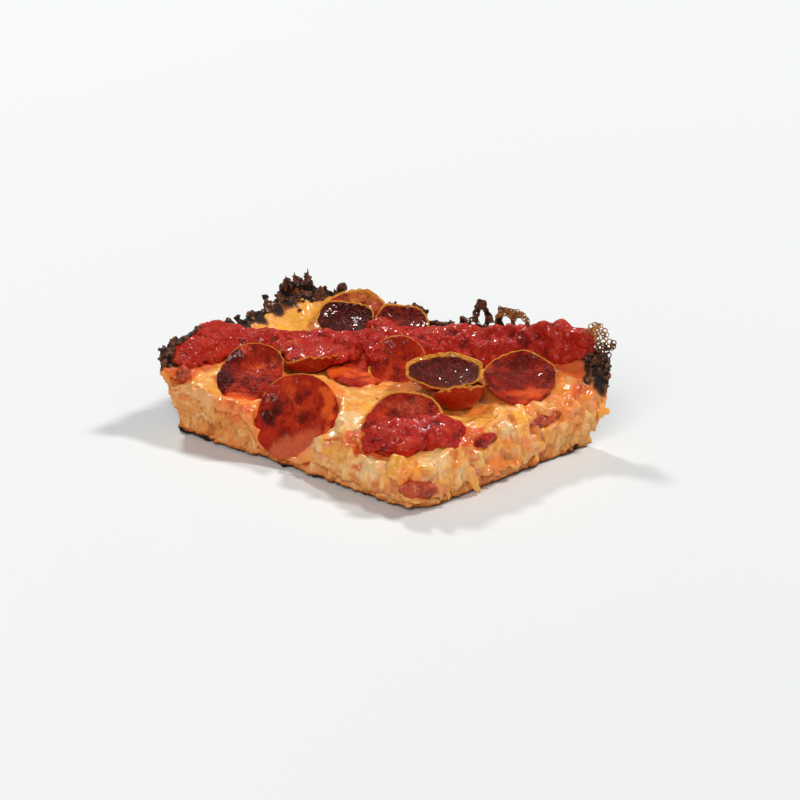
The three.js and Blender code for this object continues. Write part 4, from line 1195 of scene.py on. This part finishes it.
def makeCheeseFinish():
    look = Finish("melted cheese", (0.87, 0.36, 0.055), rough=0.3, wet=0.1, stretch=(1, 1, 0.4))
    look.patches((0.93, 0.48, 0.12), scale=150, low=0.46, high=0.62)
    look.patches((0.82, 0.23, 0.02), scale=300, low=0.52, high=0.7, shift=0.3)
    torn = look.read("torn")
    look.patches((0.90, 0.42, 0.10), scale=300, low=0.42, high=0.6, along=True, on=torn)
    look.patches((0.78, 0.24, 0.08), 0.8, scale=130, detail=4, low=0.5, high=0.6, shift=0.15, on=torn)
    look.patches((0.76, 0.19, 0.02), 0.75, scale=210, detail=4, low=0.5, high=0.62, shift=0.5, on=torn)
    # Painted highlights on the ridges the relief raised
    look.stain("high", (0.95, 0.62, 0.22), 0.5, scale=400, spread=0.8, low=0.3, high=0.9)
    look.stain("crumb", (0.88, 0.42, 0.14), 0.85, scale=300, spread=0.5, low=0.2, high=0.6)
    look.stain("pale", (0.94, 0.66, 0.32), 0.6, scale=300, spread=0.8, low=0.3, high=0.9)
    toast = look.patch(look.read("toast"), scale=260, detail=4, spread=0.9, low=0.35, high=0.95)
    look.layer((0.86, 0.31, 0.03), toast, 0.6)
    look.stain("gold", (0.97, 0.44, 0.05), 0.85, scale=300, spread=0.6, low=0.25, high=0.8)
    look.stain("oil", (0.92, 0.24, 0.04), 0.85, scale=300, detail=4, low=0.35, high=0.85, along=True)
    look.stain("red", (0.76, 0.11, 0.025), 0.9, scale=420, detail=4, spread=0.8, low=0.35, high=0.9)
    # Painted shade in the hollows the relief sank
    look.stain("deep", (0.60, 0.15, 0.02), 0.75, scale=500, spread=0.8, low=0.35, high=1.1)
    char = look.read("char")
    look.stain(char, (0.34, 0.085, 0.012), 0.9, scale=420, detail=5, spread=0.9, low=0.2, high=0.5)
    burnt = look.patch(char, scale=520, detail=5, spread=0.9, low=0.42, high=0.66)
    look.layer(burntBrown, burnt)
    look.stain(char, burntBlack, scale=640, detail=5, spread=0.9, low=0.6, high=0.85, shift=0.2)
    look.roughness(0.18, look.read("oil"))
    look.roughness(0.5, look.patch(scale=900, low=0.48, high=0.62))
    look.roughness(0.32, torn)
    look.roughness(0.55, toast)
    look.roughness(0.7, burnt)
    look.wetness(0.9, look.patch(scale=500, low=0.46, high=0.56, shift=0.9))
    look.wetness(0.1, toast)
    look.wetness(0, burnt)
    relief = (420, 1500, 0.3, 800, 0.15)
    return look.finish(relief, height=0.5, distance=0.5, specular=0.3, coatRoughness=0.14,
                       soft=0.15, softTint=(1, 0.4, 0.15))


def makeBreadFinish():
    look = Finish("bread crumb", (0.86, 0.36, 0.095), rough=0.75, stretch=(1, 1, 0.45))
    look.patches((0.90, 0.48, 0.17), scale=230, low=0.46, high=0.64, along=True)
    look.patches((0.82, 0.25, 0.06), 0.7, scale=120, detail=4, low=0.48, high=0.64, shift=0.15)
    look.patches((0.74, 0.22, 0.04), 0.8, scale=560, detail=4, low=0.5, high=0.66)
    # Painted shade in the relief's hollows and painted highlights on its ridges
    look.stain("deep", (0.50, 0.13, 0.02), 0.7, scale=600, spread=0.8, low=0.3, high=0.95)
    look.stain("high", (0.93, 0.58, 0.26), 0.6, scale=500, spread=0.8, low=0.3, high=0.9)
    look.stain("pale", (0.86, 0.42, 0.12), 0.7, scale=320, spread=0.8, low=0.3, high=0.8)
    look.stain("oil", (0.80, 0.16, 0.02), 0.85, scale=300, detail=4, low=0.42, high=0.95, along=True)
    look.patches((0.36, 0.10, 0.02), 0.7, scale=1000, low=0.62, high=0.72, shift=0.5)
    char = look.read("char")
    look.stain(char, (0.60, 0.15, 0.015), 0.9, scale=380, detail=5, low=0.1, high=0.45)
    look.stain(char, burntBrown, scale=420, detail=5, low=0.5, high=0.8)
    look.stain(char, burntBlack, 0.9, scale=520, detail=4, low=0.78, high=1, shift=0.3)
    look.stain("base", (0.20, 0.065, 0.018), 0.9, scale=150, detail=6, low=0.35, high=0.9)
    look.roughness(0.45, look.read("oil"))
    relief = (600, 1900, 0.5, 900, 0.4)
    return look.finish(relief, height=0.6, distance=0.6, specular=0.25,
                       soft=0.15, softTint=(1, 0.45, 0.18))


def makePepperoniFinish():
    look = Finish("baked pepperoni", (0.40, 0.019, 0.006), rough=0.42,
                  stretch=(1, 1, 0.4), turn=(20, -30, 0))
    look.patches((0.62, 0.045, 0.009), 0.85, scale=170, detail=4, low=0.46, high=0.66, along=True)
    look.patches((0.15, 0.006, 0.004), 0.85, scale=230, detail=4, low=0.47, high=0.64,
                 along=True, shift=0.7)
    # Pink tone, and on the front slices a painted sheen
    pinkAndSheen = look.patch(look.read("pinkAndSheen"), scale=500, spread=0.9, low=0.3, high=0.9, along=True)
    look.layer((0.64, 0.13, 0.055), pinkAndSheen, 0.8)
    under = look.read("under")
    look.stain("glow", (0.96, 0.13, 0.02), 0.9, scale=260, detail=4, spread=1.1, low=0.25, high=0.8)
    look.stain("gold", (0.62, 0.22, 0.04), 0.85, scale=420, spread=0.9, low=0.3, high=0.9)
    # Dark mottling, and inside the cups baked char together with painted shade
    dark = look.read("dark")
    look.stain(dark, (0.11, 0.006, 0.004), 0.9, scale=260, detail=5, spread=1.3, low=0.2, high=0.85)
    look.stain(dark, (0.024, 0.003, 0.002), 0.85, scale=420, detail=4, spread=1.4, low=0.6, high=1.1,
               shift=0.1)
    look.patches((0.38, 0.03, 0.015), 0.5, scale=1100, low=0.56, high=0.66, shift=0.6, on=dark)
    look.stain(under, (0.42, 0.012, 0.004), 0.85, scale=300, low=0.3, high=0.7)
    look.patches((0.55, 0.12, 0.04), 0.3, scale=1500, detail=2, low=0.62, high=0.72, shift=0.2)
    crisp = look.patch(look.read("crisp"), scale=400, detail=4, spread=1.2, low=0.3, high=0.6)
    look.layer((0.78, 0.32, 0.04), crisp, 0.95)
    look.patches((0.42, 0.10, 0.012), 0.6, scale=800, low=0.5, high=0.6, on=crisp)
    look.roughness(0.55, crisp)
    wet = look.patch(dark, spread=2, low=0.4, high=0.9)
    look.wetness(0.9, look.times(wet, look.patch(scale=1100, low=0.5, high=0.55)))
    streaks = look.patch(low=0.46, high=0.56)
    look.wetness(0.5, look.times(streaks, look.patch(scale=900, low=0.5, high=0.58)))
    look.wetness(0.7, under)
    relief = (900, 1500, 0.25, 1000, 0.3)
    return look.finish(relief, height=0.9, distance=0.5, specular=0.06, coatRoughness=0.08,
                       soft=0.08, softTint=(1, 0.2, 0.08), stronger=dark)


def makeSauceFinish():
    look = Finish("tomato sauce", (0.46, 0.017, 0.008), rough=0.36, wet=0.05)
    look.patches((0.60, 0.034, 0.012), scale=260, low=0.5, high=0.7)
    # Painted shade in the relief's hollows and painted highlights on its ridges
    look.stain("deep", (0.17, 0.004, 0.003), 0.85, scale=420, spread=0.8, low=0.2, high=0.75)
    look.stain("high", (0.64, 0.055, 0.018), 0.6, scale=420, spread=0.8, low=0.35, high=0.95)
    look.patches((0.66, 0.12, 0.03), 0.4, scale=1200, low=0.62, high=0.74)
    look.stain("cooked", (0.40, 0.045, 0.012), 0.5, scale=700, low=0.7, high=1.1)
    wet = look.patch(scale=260, low=0.36, high=0.5)
    look.wetness(0.8, look.times(wet, look.patch(scale=900, low=0.46, high=0.56)))
    relief = (900, 2000, 0.4, 1100, 0.3)
    return look.finish(relief, height=0.9, distance=0.7, specular=0.1, coatRoughness=0.09,
                       soft=0.08, softTint=(1, 0.2, 0.1))


def makeCrustFinish():
    look = Finish("burnt cheese", (0.105, 0.036, 0.017), rough=0.6)
    look.patches((0.22, 0.065, 0.028), scale=320, detail=5, low=0.48, high=0.64)
    look.patches(burntBlack, scale=380, detail=5, low=0.44, high=0.58, shift=0.7)
    look.patches((0.42, 0.15, 0.035), 0.8, scale=700, low=0.58, high=0.68, shift=0.4)
    amber = look.patch(look.read("amber"), scale=700, low=0.3, high=0.8)
    look.layer((0.46, 0.15, 0.02), amber, 0.9)
    look.patches((0.13, 0.04, 0.01), 0.8, scale=520, low=0.46, high=0.56, shift=0.5, on=amber)
    look.patches((0.80, 0.40, 0.08), 0.7, scale=640, low=0.56, high=0.66, shift=0.8, on=amber)
    look.roughness(0.35, look.patch(scale=900, low=0.54, high=0.62))
    look.wetness(0.5, look.patch(scale=700, low=0.5, high=0.6, shift=0.2))
    look.wetness(0.7, amber)
    relief = (1100, 2600, 0.5, 1500, 0.5)
    return look.finish(relief, height=0.7, distance=0.4, specular=0.2, coatRoughness=0.1)


def makeEndFinish():
    look = Finish("cut pepperoni", (0.56, 0.078, 0.026), rough=0.45, wet=0.05)
    look.patches((0.32, 0.035, 0.014), scale=380, detail=4, low=0.46, high=0.62)
    look.patches((0.70, 0.24, 0.08), 0.8, scale=520, detail=4, low=0.55, high=0.7, shift=0.4)
    look.roughness(0.25, look.patch(scale=600))
    relief = (700, 2000, 0.4, 1000, 0.3)
    return look.finish(relief, height=0.6, distance=0.45, specular=0.3, coatRoughness=0.12,
                       soft=0.12, softTint=(1, 0.3, 0.15))


def dress(piece, material, slot, *nodes):
    piece.data.materials.clear()
    piece.data.materials.append(material)
    for group in list(piece.vertex_groups):
        piece.vertex_groups.remove(group)
    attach(piece, "root")
    if nodes:
        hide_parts(*nodes)


dress(breadPiece, makeBreadFinish(), "bread", "bread")
dress(cheesePiece, makeCheeseFinish(), "cheese", "cheese")
pepperoniFinish = makePepperoniFinish()
for name, piece in slices.items():
    dress(piece, pepperoniFinish, "pepperoni", "pepperoni_" + name)
sauceFinish = makeSauceFinish()
for part, piece in saucePieces.items():
    dress(piece, sauceFinish, "sauce", "sauce_" + part)
crustFinish = makeCrustFinish()
for piece in [crustPiece, *lacePieces]:
    dress(piece, crustFinish, "cheese")
endFinish = makeEndFinish()
for side, piece in scrapPieces.items():
    dress(piece, endFinish, "pepperoni_cut", "pepperoni_scrap_" + side)
print("materials made")


# Floor and studio light, in metres
studio = {
    "floor": (0.80, 0.82, 0.82),
    "floorSize": 6,
    "floorRoughness": 0.6,
    "sky": (0.93, 0.97, 1.0),
    "skyStrength": 0.16,
    "lamps": [
        {"name": "key", "place": (0.9, 1.3, 1.9), "size": 0.36, "watts": 34, "colour": (1, 0.99, 0.97)},
        {"name": "back left", "place": (-1.2, 0.6, 1.3), "size": 0.22, "watts": 14,
         "colour": (1, 0.99, 0.97)},
        {"name": "front", "place": (0.9, -1.9, 1.7), "size": 1.4, "watts": 34, "colour": (1, 0.99, 0.98)},
    ],
}


def makeStudio():
    bpy.ops.mesh.primitive_plane_add(size=studio["floorSize"])
    floor = bpy.context.active_object
    floor.name = "floor"
    material = bpy.data.materials.new("floor")
    material.use_nodes = True
    shader = material.node_tree.nodes["Principled BSDF"]
    shader.inputs["Base Color"].default_value = (*studio["floor"], 1)
    shader.inputs["Roughness"].default_value = studio["floorRoughness"]
    floor.data.materials.append(material)
    floor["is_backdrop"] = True
    world = bpy.data.worlds.new("studio")
    world.use_nodes = True
    sky = world.node_tree.nodes["Background"]
    sky.inputs["Color"].default_value = (*studio["sky"], 1)
    sky.inputs["Strength"].default_value = studio["skyStrength"]
    bpy.context.scene.world = world
    for lamp in studio["lamps"]:
        light = bpy.data.lights.new(lamp["name"], "AREA")
        light.size = lamp["size"]
        light.energy = lamp["watts"]
        light.color = lamp["colour"]
        holder = bpy.data.objects.new(lamp["name"], light)
        holder.location = lamp["place"]
        holder.rotation_euler = (-Vector(lamp["place"])).to_track_quat("-Z", "Y").to_euler()
        bpy.context.scene.collection.objects.link(holder)


makeStudio()
print("studio made")

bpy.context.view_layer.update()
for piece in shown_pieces():
    piece.data.calc_loop_triangles()
    print(piece.name, len(piece.data.loop_triangles))
